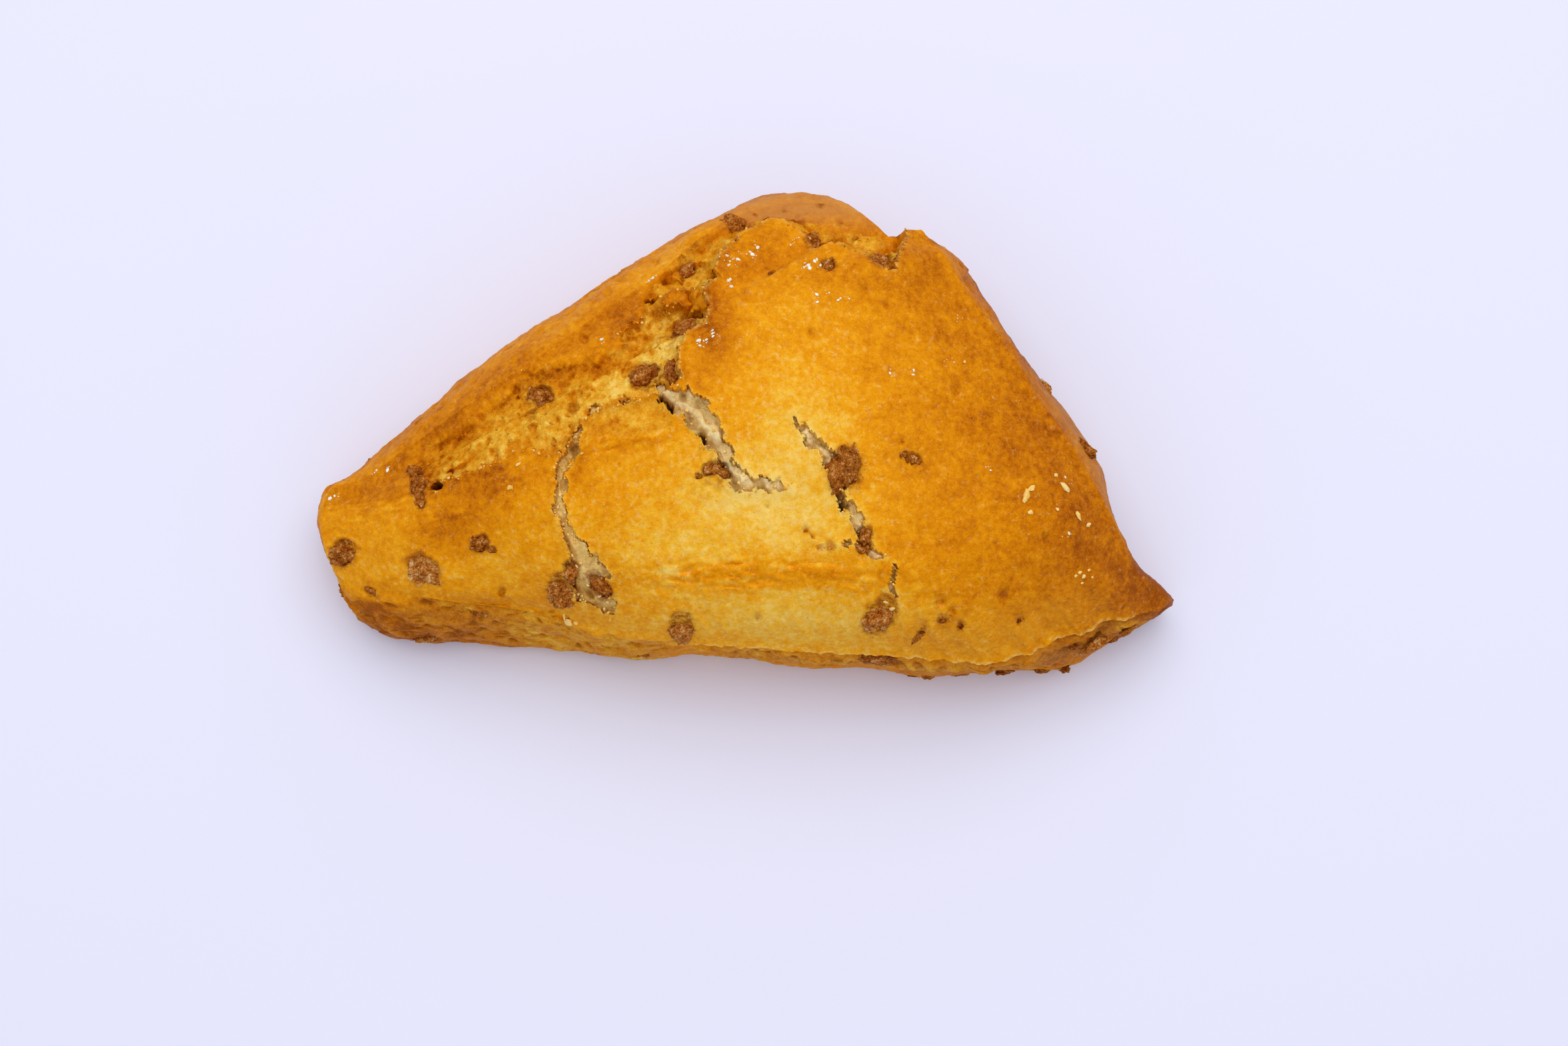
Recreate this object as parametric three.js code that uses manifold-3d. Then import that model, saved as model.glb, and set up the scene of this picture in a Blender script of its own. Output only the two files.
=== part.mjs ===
// A baked cinnamon-chip scone: a wedge of dough with a blunt end, a sharp end and a round back corner.
// Millimetres, +Z up. The origin is on the table, under the middle of the scone's box.
// The crust is one closed surface: a Coons patch for the top, rows of wall under its rim, and a flat foot.
// Cracks are cut out of it and cinnamon chips are fused on, so that the whole scone is one solid.
import * as THREE from "three";
import { mergeVertices } from "three/addons/utils/BufferGeometryUtils.js";
import Module from "manifold-3d";

const wasm = await Module();
wasm.setup();

// ---- Driving dimensions ----

const CROWN_RISE = 8.5; // how far the middle swells above the patch that its rim spans
const FRONT_ROLL = 9; // distance over which the top rolls down to the front rim
const BACK_ROLL = 11;
const BLUNT_END_ROLL = 24;
const SHARP_END_ROLL = 16;

const TORN_DEPTH = 1.3; // how far the torn crumb lies under the crust around it
const LOBE_DROP = 2.6; // how far the back lobe sinks behind the torn edge of the upper crust
const CRUST_LIFT = 1.9; // how far the upper crust stands up at that edge
const LIP_CREASE = 1.5; // depth of the crease under the overhanging front lip
const FOOT_TUCK = 0.34; // the foot is tucked in by this share of the belly's height
const WAVE_HEIGHT = 0.35; // slow waves of the baked surface

const CELLS_ALONG = 60; // grid cells from the blunt end to the sharp end
const CELLS_ACROSS = 34; // grid cells from the front to the back
const WALL_ROWS = 6;
const FOOT_ROWS = 2;
const FOOT_HUB = [0, -8, 0]; // the point of the foot where its triangles meet

// The rim, where the top turns over into the walls: x, y, z along each side, corner to corner.
const RIM = {
  front: [
    [-65.5, -26, 16], [-50, -29.5, 22], [-35, -31.5, 23], [-22, -35, 23], [-9, -36.7, 23], [11, -38, 23],
    [27, -38.8, 22], [40, -39.3, 21], [53, -34.5, 21], [62, -31.7, 19],
  ],
  right: [
    [68.5, -29, 15], [62, -24, 22], [57, -15.5, 27], [51, -6, 30], [45.5, 1.5, 32], [39.5, 11, 33],
    [33.5, 19, 33], [29.8, 25.6, 33], [26.3, 28, 31], [19, 32.3, 27],
  ],
  back: [
    [12.5, 35.3, 25], [4, 35.2, 25], [-3, 32.4, 26], [-9, 27.7, 28], [-13.5, 23, 30], [-24, 15, 31],
    [-34, 7.4, 31], [-45, 0.3, 29], [-56, -6.4, 24], [-62.5, -10, 20],
  ],
  left: [[-68, -11.5, 17], [-69, -18.6, 17]],
};

// The belly, where the walls are widest.
const BELLY = {
  front: [
    [-65.3, -29.5, 7], [-58.5, -33.3, 5], [-44.6, -35.2, 5], [-31, -35.8, 5], [-18, -38, 5], [-9, -37, 6],
    [4, -38.3, 6], [18, -39.2, 6], [31, -40.6, 6], [42, -39.5, 6], [53.5, -39, 6], [58, -36.5, 7], [64.5, -33, 7],
  ],
  right: [
    [71.4, -28, 8], [65.4, -24, 9], [60.5, -18.2, 10], [58.5, -7.5, 10], [53.2, 1.2, 10], [43.5, 14.2, 10],
    [38.5, 21.2, 11], [34.7, 27.6, 11], [29.5, 31, 12], [21.5, 34, 12],
  ],
  back: [
    [13, 39, 12], [4, 39.6, 12], [-4.6, 35.8, 11], [-13.5, 31.4, 10], [-31.4, 19.4, 10], [-48.5, 7, 10],
    [-57.5, -1.2, 10], [-66.4, -8.4, 9],
  ],
  left: [[-70.2, -10.4, 9], [-70.9, -18, 9], [-67.6, -24.6, 8]],
};
const SIDES = ["front", "right", "back", "left"];

// The patch behind the blunt end where the skin tore off and the crumb shows.
const TORN_PATCH = [
  [-49.8, -11.9], [-51, -7.5], [-43.5, -2], [-34.3, 4], [-25.7, 6.4], [-20, 10], [-18.5, 17], [-12, 25],
  [-6, 24], [-6.5, 15.2], [-11, 6], [-13.4, -0.2], [-24.2, -1.5], [-31.6, -7.9], [-41, -10],
];

// The torn back edge of the upper crust, from left to right, with the lower lobe behind it.
const TORN_EDGE = [
  [-11, 27], [-7.5, 20.4], [-4.7, 26], [-1.1, 29], [1.3, 31.3], [4.8, 31.9], [7.9, 29], [11.2, 25.3],
  [15, 25.4], [18.1, 23.2], [22, 20.6], [24.2, 24.9], [26.4, 28.5],
];
const BEHIND_THE_LOBE = [[30, 42], [-16, 42]]; // closes the lobe's region outside the scone

// Each crack: x, y, half width along its line, and one depth.
const CRACKS = {
  middle: {
    depth: 5,
    line: [
      [-14.3, 5.3, 0.3], [-12.6, -1.8, 1.5], [-9.6, -4.2, 3.6], [-7.3, -6.1, 3.4], [-4.6, -8.4, 1.6],
      [-3, -11.4, 1.8], [0.4, -13.2, 1.2], [4.2, -14.2, 0.9], [6.2, -14.9, 0.2],
    ],
  },
  right: {
    depth: 5,
    line: [
      [6.7, -3.1, 0.15], [7.8, -5.6, 0.8], [9.6, -7.9, 1.3], [12.2, -10.4, 2], [13.3, -14.6, 1.2],
      [14.8, -18.1, 1], [16.7, -19.8, 1.4], [17.5, -22.6, 1], [21.2, -25.1, 0.4], [21.9, -28, 0.5], [22.7, -30.5, 0.1],
    ],
  },
  left: {
    depth: 4,
    line: [
      [-19.9, -0.9, 0.2], [-24.2, -1.5, 0.8], [-26.3, -5.7, 0.9], [-27.6, -9.4, 0.8], [-29.2, -13, 1],
      [-29, -17.4, 1], [-27.6, -22.3, 1.4], [-26, -25.4, 3], [-24.6, -28.4, 3.4], [-22.6, -31, 0.6],
    ],
  },
};

// Cinnamon chips on the top: x, y, length, width, and how far each is turned in plan, in degrees.
const TOP_CHIPS = [
  [-65.2, -21.6, 5, 4.6, 0], [-51.3, -24.9, 6, 4.4, -30], [-41.2, -21.9, 2.8, 2.4, 0], [-52.1, -11.6, 3.6, 7, -10],
  [-32.5, 1.4, 4.2, 3.6, 20], [-15.8, 3.9, 5, 4.4, 0], [-12, 2.6, 2.4, 3.8, 0], [-9.3, 11.2, 3.8, 2.6, 35],
  [-5.7, -11.9, 4, 3.4, 0], [14.5, -11.4, 5.4, 6.4, 20], [17.6, -21.9, 2.4, 4.4, 0], [24.6, -9.2, 3.4, 2.6, 0],
  [-29.6, -28.2, 5, 4.6, 10], [-23.4, -28.2, 4, 5, 20], [-10.7, -34.3, 4.2, 4.6, 10], [20.2, -33, 6, 5, 30],
  [20.6, 22.6, 4.8, 3.6, -20], [12.2, 21.4, 3, 2.8, 0], [8.4, 29.6, 3.8, 3, -20], [-2.1, 30.6, 4.6, 3.4, 20],
  [-9.9, 23.3, 3.2, 2.4, 0],
];

// Chips that stick out of the walls: x, y, z, length, width, turn.
const WALL_CHIPS = [
  [-60.3, -28.6, 15, 3, 2.6, 0], [-43.4, -33, 17, 3.2, 2.8, 0], [55.8, -35, 17.2, 7, 3.4, 15],
  [53.2, -5.4, 24, 3.4, 3.4, 0], [43.6, -39.2, 10, 3.6, 3.2, 0], [20.4, -38.8, 9, 4.6, 3.6, 0],
];
const CHIP_HEIGHT = 0.8; // a chip's height as a share of its width
const CHIP_SINK = 0.2; // how far its middle lies under the crust, as a share of its height
const CHIP_ROUGHNESS = 0.16; // its corners move by up to this share of its radius

// ---- Curves and fields ----

const clamp01 = (t) => Math.min(1, Math.max(0, t));
const smoothStep = (t) => clamp01(t) ** 2 * (3 - 2 * clamp01(t));
const fallOff = (distance, reach) => Math.exp(-Math.max(0, distance) / reach);

// A repeatable pseudo-random number from 0 to 1 for whole-number seeds.
function draw(seed) {
  const x = Math.sin(seed * 127.1 + 311.7) * 43758.5453;
  return x - Math.floor(x);
}

// A closed curve through the points of all four sides, cut at its corners and resampled evenly.
function sampledSides(outline, cellsBySide) {
  const points = SIDES.flatMap((side) => outline[side].map((p) => new THREE.Vector3(...p)));
  const curve = new THREE.CatmullRomCurve3(points, true, "centripetal");
  let first = 0;
  return SIDES.map((side, k) => {
    const last = first + outline[side].length;
    const samples = evenSamples(curve, first / points.length, last / points.length, cellsBySide[k]);
    first = last;
    return samples;
  });
}

// Points at equal steps of length in plan along one stretch of a curve.
function evenSamples(curve, from, to, cells) {
  const STEPS = 400;
  const fine = [];
  for (let i = 0; i <= STEPS; i++) fine.push(curve.getPoint((from + ((to - from) * i) / STEPS) % 1));
  const length = [0];
  for (let i = 1; i <= STEPS; i++) {
    length.push(length[i - 1] + Math.hypot(fine[i].x - fine[i - 1].x, fine[i].y - fine[i - 1].y));
  }
  const samples = [];
  let i = 1;
  for (let c = 0; c <= cells; c++) {
    const target = (length[STEPS] * c) / cells;
    while (i < STEPS && length[i] < target) i++;
    const t = clamp01((target - length[i - 1]) / (length[i] - length[i - 1]));
    samples.push(fine[i - 1].clone().lerp(fine[i], t));
  }
  return samples;
}

// Signed distance in plan to a closed polygon, positive inside.
function insideDistance(polygon, x, y) {
  let nearest = Infinity;
  let inside = false;
  polygon.forEach(([ax, ay], i) => {
    const [bx, by] = polygon[(i + 1) % polygon.length];
    const t = clamp01(((x - ax) * (bx - ax) + (y - ay) * (by - ay)) / ((bx - ax) ** 2 + (by - ay) ** 2));
    nearest = Math.min(nearest, Math.hypot(x - ax - t * (bx - ax), y - ay - t * (by - ay)));
    if (ay > y !== by > y && x < ax + ((y - ay) * (bx - ax)) / (by - ay)) inside = !inside;
  });
  return inside ? nearest : -nearest;
}

// Slow waves left by the dough's rising, as a sum of three sines.
function waves(x, y) {
  const sum = Math.sin(x / 7 + y / 11) + Math.sin(x / 12 - y / 6 + 1.3) + Math.sin(y / 5 + x / 19 + 2.1);
  return (WAVE_HEIGHT * sum) / 1.5;
}

// What the tearing of the crust adds to the height at a point of the top.
function relief(x, y) {
  const torn = smoothStep(insideDistance(TORN_PATCH, x, y) / 2 + 0.5);
  const lobe = insideDistance([...TORN_EDGE, ...BEHIND_THE_LOBE], x, y);
  const step = smoothStep(lobe / 1.2 + 0.5);
  return waves(x, y) - TORN_DEPTH * torn + CRUST_LIFT * (1 - step) * fallOff(-lobe, 6) - LOBE_DROP * step * fallOff(lobe, 7);
}

// ---- The crust ----

// The share of the crown's rise at a distance from one side: nothing at the rim, all of it far inside.
const roll = (distance, reach) => 1 - Math.exp(-((distance / reach) ** 1.4));

// The top: a Coons patch over the rim's four sides, swollen by the crown, with the tearing added.
function topGrid([front, right, back, left]) {
  const grid = [];
  for (let i = 0; i <= CELLS_ALONG; i++) {
    const u = i / CELLS_ALONG;
    const near = front[i];
    const far = back[CELLS_ALONG - i];
    const span = Math.hypot(far.x - near.x, far.y - near.y);
    const column = [];
    for (let j = 0; j <= CELLS_ACROSS; j++) {
      const v = j / CELLS_ACROSS;
      const blunt = left[CELLS_ACROSS - j];
      const sharp = right[j];
      const reach = Math.hypot(sharp.x - blunt.x, sharp.y - blunt.y);
      const point = near.clone().multiplyScalar(1 - v).addScaledVector(far, v);
      point.addScaledVector(blunt, 1 - u).addScaledVector(sharp, u);
      point.addScaledVector(front[0], -(1 - u) * (1 - v)).addScaledVector(right[0], -u * (1 - v));
      point.addScaledVector(back[0], -u * v).addScaledVector(left[0], -(1 - u) * v);
      const swell = roll(v * span, FRONT_ROLL) * roll((1 - v) * span, BACK_ROLL);
      point.z += CROWN_RISE * swell * roll(u * reach, BLUNT_END_ROLL) * roll((1 - u) * reach, SHARP_END_ROLL);
      point.z += relief(point.x, point.y);
      column.push(point);
    }
    grid.push(column);
  }
  return grid;
}

// How strongly the front lip overhangs the layer under it, from 0 to 1, along the front.
const lipStrength = (x, y) => (y < -26 ? smoothStep((x + 12) / 8) * smoothStep((66 - x) / 8) : 0);

// A wall column from the rim over the shoulder to the belly, then tucked in under it to the foot.
function wallColumn(rim, belly, outward) {
  const column = [];
  const run = belly.clone().sub(rim);
  const shoulder = rim.clone().add(new THREE.Vector3(run.x * 0.5, run.y * 0.5, run.z * 0.12));
  const flank = belly.clone().setZ(belly.z - run.z * 0.45);
  const profile = new THREE.CubicBezierCurve3(rim, shoulder, flank, belly);
  for (let row = 1; row <= WALL_ROWS; row++) {
    const t = row / WALL_ROWS;
    const point = profile.getPoint(t);
    const crease = Math.exp(-(((t - 0.6) / 0.12) ** 2)) * lipStrength(rim.x, rim.y);
    column.push(point.addScaledVector(outward, -LIP_CREASE * crease));
  }
  for (let row = 1; row <= FOOT_ROWS; row++) {
    const turn = ((row / FOOT_ROWS) * Math.PI) / 2;
    const point = belly.clone().addScaledVector(outward, -FOOT_TUCK * belly.z * (1 - Math.cos(turn)));
    column.push(point.setZ(belly.z * (1 - Math.sin(turn))));
  }
  return column;
}

// The whole crust as a closed mesh: the top grid, wall columns round its rim, and the flat foot.
function crustGeometry() {
  const cells = [CELLS_ALONG, CELLS_ACROSS, CELLS_ALONG, CELLS_ACROSS];
  const rimSides = sampledSides(RIM, cells);
  const belly = sampledSides(BELLY, cells).flatMap((side) => side.slice(0, -1));
  const grid = topGrid(rimSides);
  const points = grid.flat();
  const at = (i, j) => i * (CELLS_ACROSS + 1) + j;
  const faces = [];
  for (let i = 0; i < CELLS_ALONG; i++) {
    for (let j = 0; j < CELLS_ACROSS; j++) {
      faces.push([at(i, j), at(i + 1, j), at(i + 1, j + 1)], [at(i, j), at(i + 1, j + 1), at(i, j + 1)]);
    }
  }
  const loop = [];
  for (let i = 0; i < CELLS_ALONG; i++) loop.push(at(i, 0));
  for (let j = 0; j < CELLS_ACROSS; j++) loop.push(at(CELLS_ALONG, j));
  for (let i = CELLS_ALONG; i > 0; i--) loop.push(at(i, CELLS_ACROSS));
  for (let j = CELLS_ACROSS; j > 0; j--) loop.push(at(0, j));

  const count = loop.length;
  const columns = loop.map((index, k) => {
    const ahead = belly[(k + 1) % count];
    const behind = belly[(k + count - 1) % count];
    const outward = new THREE.Vector3(ahead.y - behind.y, behind.x - ahead.x, 0).normalize();
    return wallColumn(points[index], belly[k], outward);
  });
  let upper = loop;
  for (let row = 0; row < WALL_ROWS + FOOT_ROWS; row++) {
    const lower = columns.map((column) => points.push(column[row]) - 1);
    for (let k = 0; k < count; k++) {
      const n = (k + 1) % count;
      faces.push([upper[k], lower[k], lower[n]], [upper[k], lower[n], upper[n]]);
    }
    upper = lower;
  }
  const hub = points.push(new THREE.Vector3(...FOOT_HUB)) - 1;
  upper.forEach((index, k) => faces.push([index, hub, upper[(k + 1) % count]]));
  return indexedGeometry(points, faces);
}

function indexedGeometry(points, faces) {
  const geometry = new THREE.BufferGeometry().setFromPoints(points);
  return geometry.setIndex(faces.flat());
}

// ---- Cracks and chips ----

// The height of the crust at a point, taken from the nearest vertex of the top.
function crustHeight(points, x, y) {
  let best = points[0];
  let least = Infinity;
  for (const p of points) {
    const d = (p.x - x) ** 2 + (p.y - y) ** 2;
    if (d < least) [least, best] = [d, p];
  }
  return best.z;
}

// A crack's cutter: a four-sided tube along its line, wide above the crust and narrow at its floor.
function crackCutter({ line, depth }, topPoints) {
  const CLEARANCE = 2; // how far the cutter stands above the crust
  const FLOOR_SHARE = 0.35; // width of the floor as a share of the width at the crust
  const points = [];
  const faces = [];
  line.forEach(([x, y, half], k) => {
    const [px, py] = line[Math.max(0, k - 1)];
    const [nx, ny] = line[Math.min(line.length - 1, k + 1)];
    const side = new THREE.Vector2(-(ny - py), nx - px).normalize();
    const z = crustHeight(topPoints, x, y);
    const open = half * 1.15;
    const floor = half * FLOOR_SHARE;
    const lift = z + CLEARANCE;
    const bed = z - depth * Math.min(1, 0.35 + half / 2);
    points.push(new THREE.Vector3(x + side.x * open, y + side.y * open, lift));
    points.push(new THREE.Vector3(x - side.x * open, y - side.y * open, lift));
    points.push(new THREE.Vector3(x - side.x * floor, y - side.y * floor, bed));
    points.push(new THREE.Vector3(x + side.x * floor, y + side.y * floor, bed));
    if (k === 0) return;
    const a = 4 * (k - 1);
    for (let e = 0; e < 4; e++) {
      const f = (e + 1) % 4;
      faces.push([a + e, a + f, a + 4 + f], [a + e, a + 4 + f, a + 4 + e]);
    }
  });
  const end = points.length - 4;
  faces.push([0, 2, 1], [0, 3, 2], [end, end + 1, end + 2], [end, end + 2, end + 3]);
  return indexedGeometry(points, faces);
}

const chipHeight = (length, width) => CHIP_HEIGHT * Math.min(length, width);

// A chip: an icosahedron ball with its corners moved in and out, flattened, turned and set in place.
function chipGeometry([x, y, z, length, width, degrees], index) {
  const ball = new THREE.IcosahedronGeometry(1, 1);
  ball.deleteAttribute("normal");
  ball.deleteAttribute("uv");
  const lump = mergeVertices(ball, 1e-3);
  const corners = lump.attributes.position;
  for (let k = 0; k < corners.count; k++) {
    const stretch = 1 + CHIP_ROUGHNESS * (2 * draw(index * 97 + k) - 1);
    corners.setXYZ(k, corners.getX(k) * stretch, corners.getY(k) * stretch, corners.getZ(k) * stretch);
  }
  lump.scale(length / 2, width / 2, chipHeight(length, width) / 2);
  lump.rotateZ(THREE.MathUtils.degToRad(degrees));
  return lump.translate(x, y, z);
}

function solidOf(geometry) {
  const triVerts = new Uint32Array(geometry.index.array);
  return new wasm.Manifold(
    new wasm.Mesh({ numProp: 3, vertProperties: new Float32Array(geometry.attributes.position.array), triVerts }),
  );
}

function geometryOf(solid) {
  const { numProp, vertProperties, triVerts } = solid.getMesh();
  const count = vertProperties.length / numProp;
  const positions = new Float32Array(count * 3);
  for (let k = 0; k < count; k++) positions.set(vertProperties.subarray(k * numProp, k * numProp + 3), k * 3);
  const geometry = new THREE.BufferGeometry();
  geometry.setAttribute("position", new THREE.BufferAttribute(positions, 3));
  return geometry.setIndex(Array.from(triVerts));
}

// ---- The scone ----

function sconeGeometry() {
  const crust = crustGeometry();
  const topCount = (CELLS_ALONG + 1) * (CELLS_ACROSS + 1);
  const topPoints = [];
  for (let k = 0; k < topCount; k++) topPoints.push(new THREE.Vector3().fromBufferAttribute(crust.attributes.position, k));
  let scone = solidOf(crust);
  for (const crack of Object.values(CRACKS)) scone = scone.subtract(solidOf(crackCutter(crack, topPoints)));
  const onTop = TOP_CHIPS.map(([x, y, length, width, turn]) => {
    const z = crustHeight(topPoints, x, y) - CHIP_SINK * chipHeight(length, width);
    return [x, y, z, length, width, turn];
  });
  [...onTop, ...WALL_CHIPS].forEach((chip, index) => {
    scone = scone.add(solidOf(chipGeometry(chip, index + 1)));
  });
  const geometry = geometryOf(scone);
  geometry.computeBoundingBox();
  const middle = geometry.boundingBox.getCenter(new THREE.Vector3());
  return geometry.translate(-middle.x, -middle.y, -geometry.boundingBox.min.z);
}

const goldenCrust = new THREE.MeshStandardMaterial({ color: 0xd6902f, roughness: 0.6, metalness: 0 });

const scone = new THREE.Mesh(sconeGeometry(), goldenCrust);
scone.name = "scone";

const part = new THREE.Group();
part.add(scone);

export default part;
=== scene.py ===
# %% [markdown]
# # A baked scone
# The object is one wedge of baked dough, about 143 mm long. Its golden crust has torn open in three cracks,
# the skin has come off in one patch, and cinnamon chips stick out of it everywhere. The imported solid gives
# its place and size. Here that solid is replaced by a crust with fine relief, crumb inside the cracks, chips,
# loose crumbs, and small white grains that are sugar and also painted glints of light on the glaze. Every
# shape is a surface worked out with numpy, in millimetres, and turned into metres only when it becomes a
# Blender mesh.

# %% Imports and the imported frame
import math

import bpy
import numpy as np
from mathutils import Matrix, Vector


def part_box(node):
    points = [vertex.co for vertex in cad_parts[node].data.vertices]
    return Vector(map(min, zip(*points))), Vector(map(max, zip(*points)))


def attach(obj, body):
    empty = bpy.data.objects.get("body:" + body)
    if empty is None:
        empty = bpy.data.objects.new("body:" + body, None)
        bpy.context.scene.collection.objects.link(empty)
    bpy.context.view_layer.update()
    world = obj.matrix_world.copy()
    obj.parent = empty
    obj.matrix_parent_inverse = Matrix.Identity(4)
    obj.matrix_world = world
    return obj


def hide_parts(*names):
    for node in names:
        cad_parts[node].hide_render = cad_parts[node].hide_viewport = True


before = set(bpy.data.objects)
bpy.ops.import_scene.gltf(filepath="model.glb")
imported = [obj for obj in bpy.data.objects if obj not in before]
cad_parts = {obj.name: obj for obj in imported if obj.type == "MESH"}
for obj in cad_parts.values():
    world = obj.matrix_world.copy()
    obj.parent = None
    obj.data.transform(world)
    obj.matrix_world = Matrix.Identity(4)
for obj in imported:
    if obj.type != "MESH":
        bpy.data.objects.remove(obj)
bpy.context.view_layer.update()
low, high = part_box("scone")
print("packed scone, mm:", [round(1000 * (b - a), 1) for a, b in zip(low, high)])

MM = 0.001  # metres in a millimetre
PLAN_SHIFT = np.array([-0.12, 0.56, 0.0])  # mm from the outline's own axes to the middle of the scone's box

# %% [markdown]
# ## Camera
# The scone is seen almost from straight above, leaning a little towards its long front side. A camera can be
# aimed with a Track To constraint, but its place and turn are worked out here from two angles and a distance,
# because the fixed numbers are easier to keep. The lens is an ordinary 50 mm one.

# %% Camera
AIM = (np.array([6.13, -14.59, 4.0]) + PLAN_SHIFT) * MM
AZIMUTH, ELEVATION = math.radians(-12), math.radians(82)
DISTANCE = 0.3684


def aimed_camera():
    """A camera on a sphere round AIM, with its sideways axis level."""
    away = Vector((
        math.sin(AZIMUTH) * math.cos(ELEVATION),
        -math.cos(AZIMUTH) * math.cos(ELEVATION),
        math.sin(ELEVATION),
    ))
    right = (-away).cross(Vector((0, 1, 0))).normalized()
    up = away.cross(right)
    data = bpy.data.cameras.new("camera")
    data.lens = 50
    data.clip_start = 0.01
    camera = bpy.data.objects.new("camera", data)
    bpy.context.scene.collection.objects.link(camera)
    place = Vector(AIM) + DISTANCE * away
    axes = Matrix((right, up, away)).transposed()
    camera.matrix_world = Matrix.Translation(place) @ axes.to_4x4()
    return camera


bpy.context.scene.camera = aimed_camera()
bpy.context.scene.view_settings.view_transform = "Standard"
print("camera at", [round(v, 3) for v in bpy.context.scene.camera.location])

# %% [markdown]
# ## Colours, and a short way to wire a material
# Paint charts and screens give colours in sRGB, and Blender's sockets take linear light. The helper turns one
# into the other. The rest of this cell saves typing: a small class that adds nodes and joins them.

# %% Colour and node helpers


def srgb(red, green, blue):
    """Linear RGBA of an sRGB colour from 0 to 255: ((c + 0.055) / 1.055) ** 2.4, or c / 12.92 when dark."""
    out = []
    for value in (red, green, blue):
        c = value / 255
        out.append(((c + 0.055) / 1.055) ** 2.4 if c > 0.04045 else c / 12.92)
    return (*out, 1.0)


class Wiring:
    """A new material and short calls that add its nodes."""

    def __init__(self, name):
        self.material = bpy.data.materials.new(name)
        self.material.use_nodes = True
        self.tree = self.material.node_tree
        self.shader = self.tree.nodes["Principled BSDF"]
        self.place = self.add("ShaderNodeTexCoord").outputs["Object"]

    def add(self, kind, **settings):
        node = self.tree.nodes.new(kind)
        for key, value in settings.items():
            setattr(node, key, value)
        return node

    def put(self, socket, value):
        """Joins a link, or sets a plain value."""
        if isinstance(value, bpy.types.NodeSocket):
            self.tree.links.new(value, socket)
        else:
            socket.default_value = value

    def noise(self, per_mm, detail=3.0, roughness=0.6):
        """Noise from 0 to 1 with this many blotches in a millimetre."""
        node = self.add("ShaderNodeTexNoise")
        self.put(node.inputs["Vector"], self.place)
        node.inputs["Scale"].default_value = per_mm / MM
        node.inputs["Detail"].default_value = detail
        node.inputs["Roughness"].default_value = roughness
        return node.outputs["Fac"]

    def attribute(self, name):
        return self.add("ShaderNodeAttribute", attribute_name=name).outputs["Fac"]

    def math(self, operation, a, b):
        node = self.add("ShaderNodeMath", operation=operation)
        self.put(node.inputs[0], a)
        self.put(node.inputs[1], b)
        return node.outputs[0]

    def plus(self, a, b):
        return self.math("ADD", a, b)

    def times(self, a, b):
        return self.math("MULTIPLY", a, b)

    def swing(self, noise, amount):
        """Noise from 0 to 1 made into a swing of plus or minus the amount about zero."""
        return self.times(self.math("SUBTRACT", noise, 0.5), 2 * amount)

    def range(self, value, low, high, to_low=0.0, to_high=1.0):
        """A smooth step as the value goes from low to high, from one result to the other."""
        node = self.add("ShaderNodeMapRange", interpolation_type="SMOOTHSTEP")
        for socket, item in zip(node.inputs, (value, low, high, to_low, to_high)):
            self.put(socket, item)
        return node.outputs[0]

    def mix(self, share, first, second):
        node = self.add("ShaderNodeMix", data_type="RGBA")
        self.put(node.inputs["Factor"], share)
        self.put(node.inputs["A"], first)
        self.put(node.inputs["B"], second)
        return node.outputs["Result"]

    def ramp(self, value, stops):
        """A colour ramp through (position, colour) stops."""
        node = self.add("ShaderNodeValToRGB")
        elements = node.color_ramp.elements
        while len(elements) < len(stops):
            elements.new(0.5)
        for element, (position, colour) in zip(elements, stops):
            element.position = position
            element.color = colour
        self.put(node.inputs["Fac"], value)
        return node.outputs["Color"]

    def bump(self, height, distance_mm, strength=1.0):
        node = self.add("ShaderNodeBump")
        node.inputs["Strength"].default_value = strength
        node.inputs["Distance"].default_value = distance_mm * MM
        self.put(node.inputs["Height"], height)
        self.put(self.shader.inputs["Normal"], node.outputs["Normal"])


print("white in linear light:", srgb(255, 255, 255))

# %% [markdown]
# ## Floor and light
# The scone lies on a plain pale table under one large soft light overhead, a little behind it, with a pale
# sky all round. Small hard lights would put sharp shadows in the cracks, so the light is nearly as wide as it
# is far away.

# %% Floor and light
FLOOR_COLOUR = srgb(231, 231, 250)


def pale_floor():
    side = 3.0
    mesh = bpy.data.meshes.new("floor")
    corners = [(-side, -side, 0), (side, -side, 0), (side, side, 0), (-side, side, 0)]
    mesh.from_pydata(corners, [], [(0, 1, 2, 3)])
    floor = bpy.data.objects.new("floor", mesh)
    bpy.context.scene.collection.objects.link(floor)
    wiring = Wiring("pale floor")
    wiring.shader.inputs["Base Color"].default_value = FLOOR_COLOUR
    wiring.shader.inputs["Roughness"].default_value = 0.6
    mesh.materials.append(wiring.material)


def soft_light(name, place, aim, size, watts):
    data = bpy.data.lights.new(name, "AREA")
    data.shape = "DISK"
    data.size = size
    data.energy = watts
    light = bpy.data.objects.new(name, data)
    bpy.context.scene.collection.objects.link(light)
    direction = Vector(aim) - Vector(place)
    turn = direction.to_track_quat("-Z", "Y").to_matrix().to_4x4()
    light.matrix_world = Matrix.Translation(Vector(place)) @ turn


def pale_sky(strength):
    world = bpy.data.worlds.new("pale sky")
    world.use_nodes = True
    background = world.node_tree.nodes["Background"]
    background.inputs["Color"].default_value = (0.97, 0.99, 1.05, 1.0)
    background.inputs["Strength"].default_value = strength
    bpy.context.scene.world = world


pale_floor()
soft_light("overhead light", (0.02, 0.30, 0.95), (0, 0, 0.02), 1.2, 6.4)
pale_sky(0.58)
print("floor and light are in place")

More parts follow.
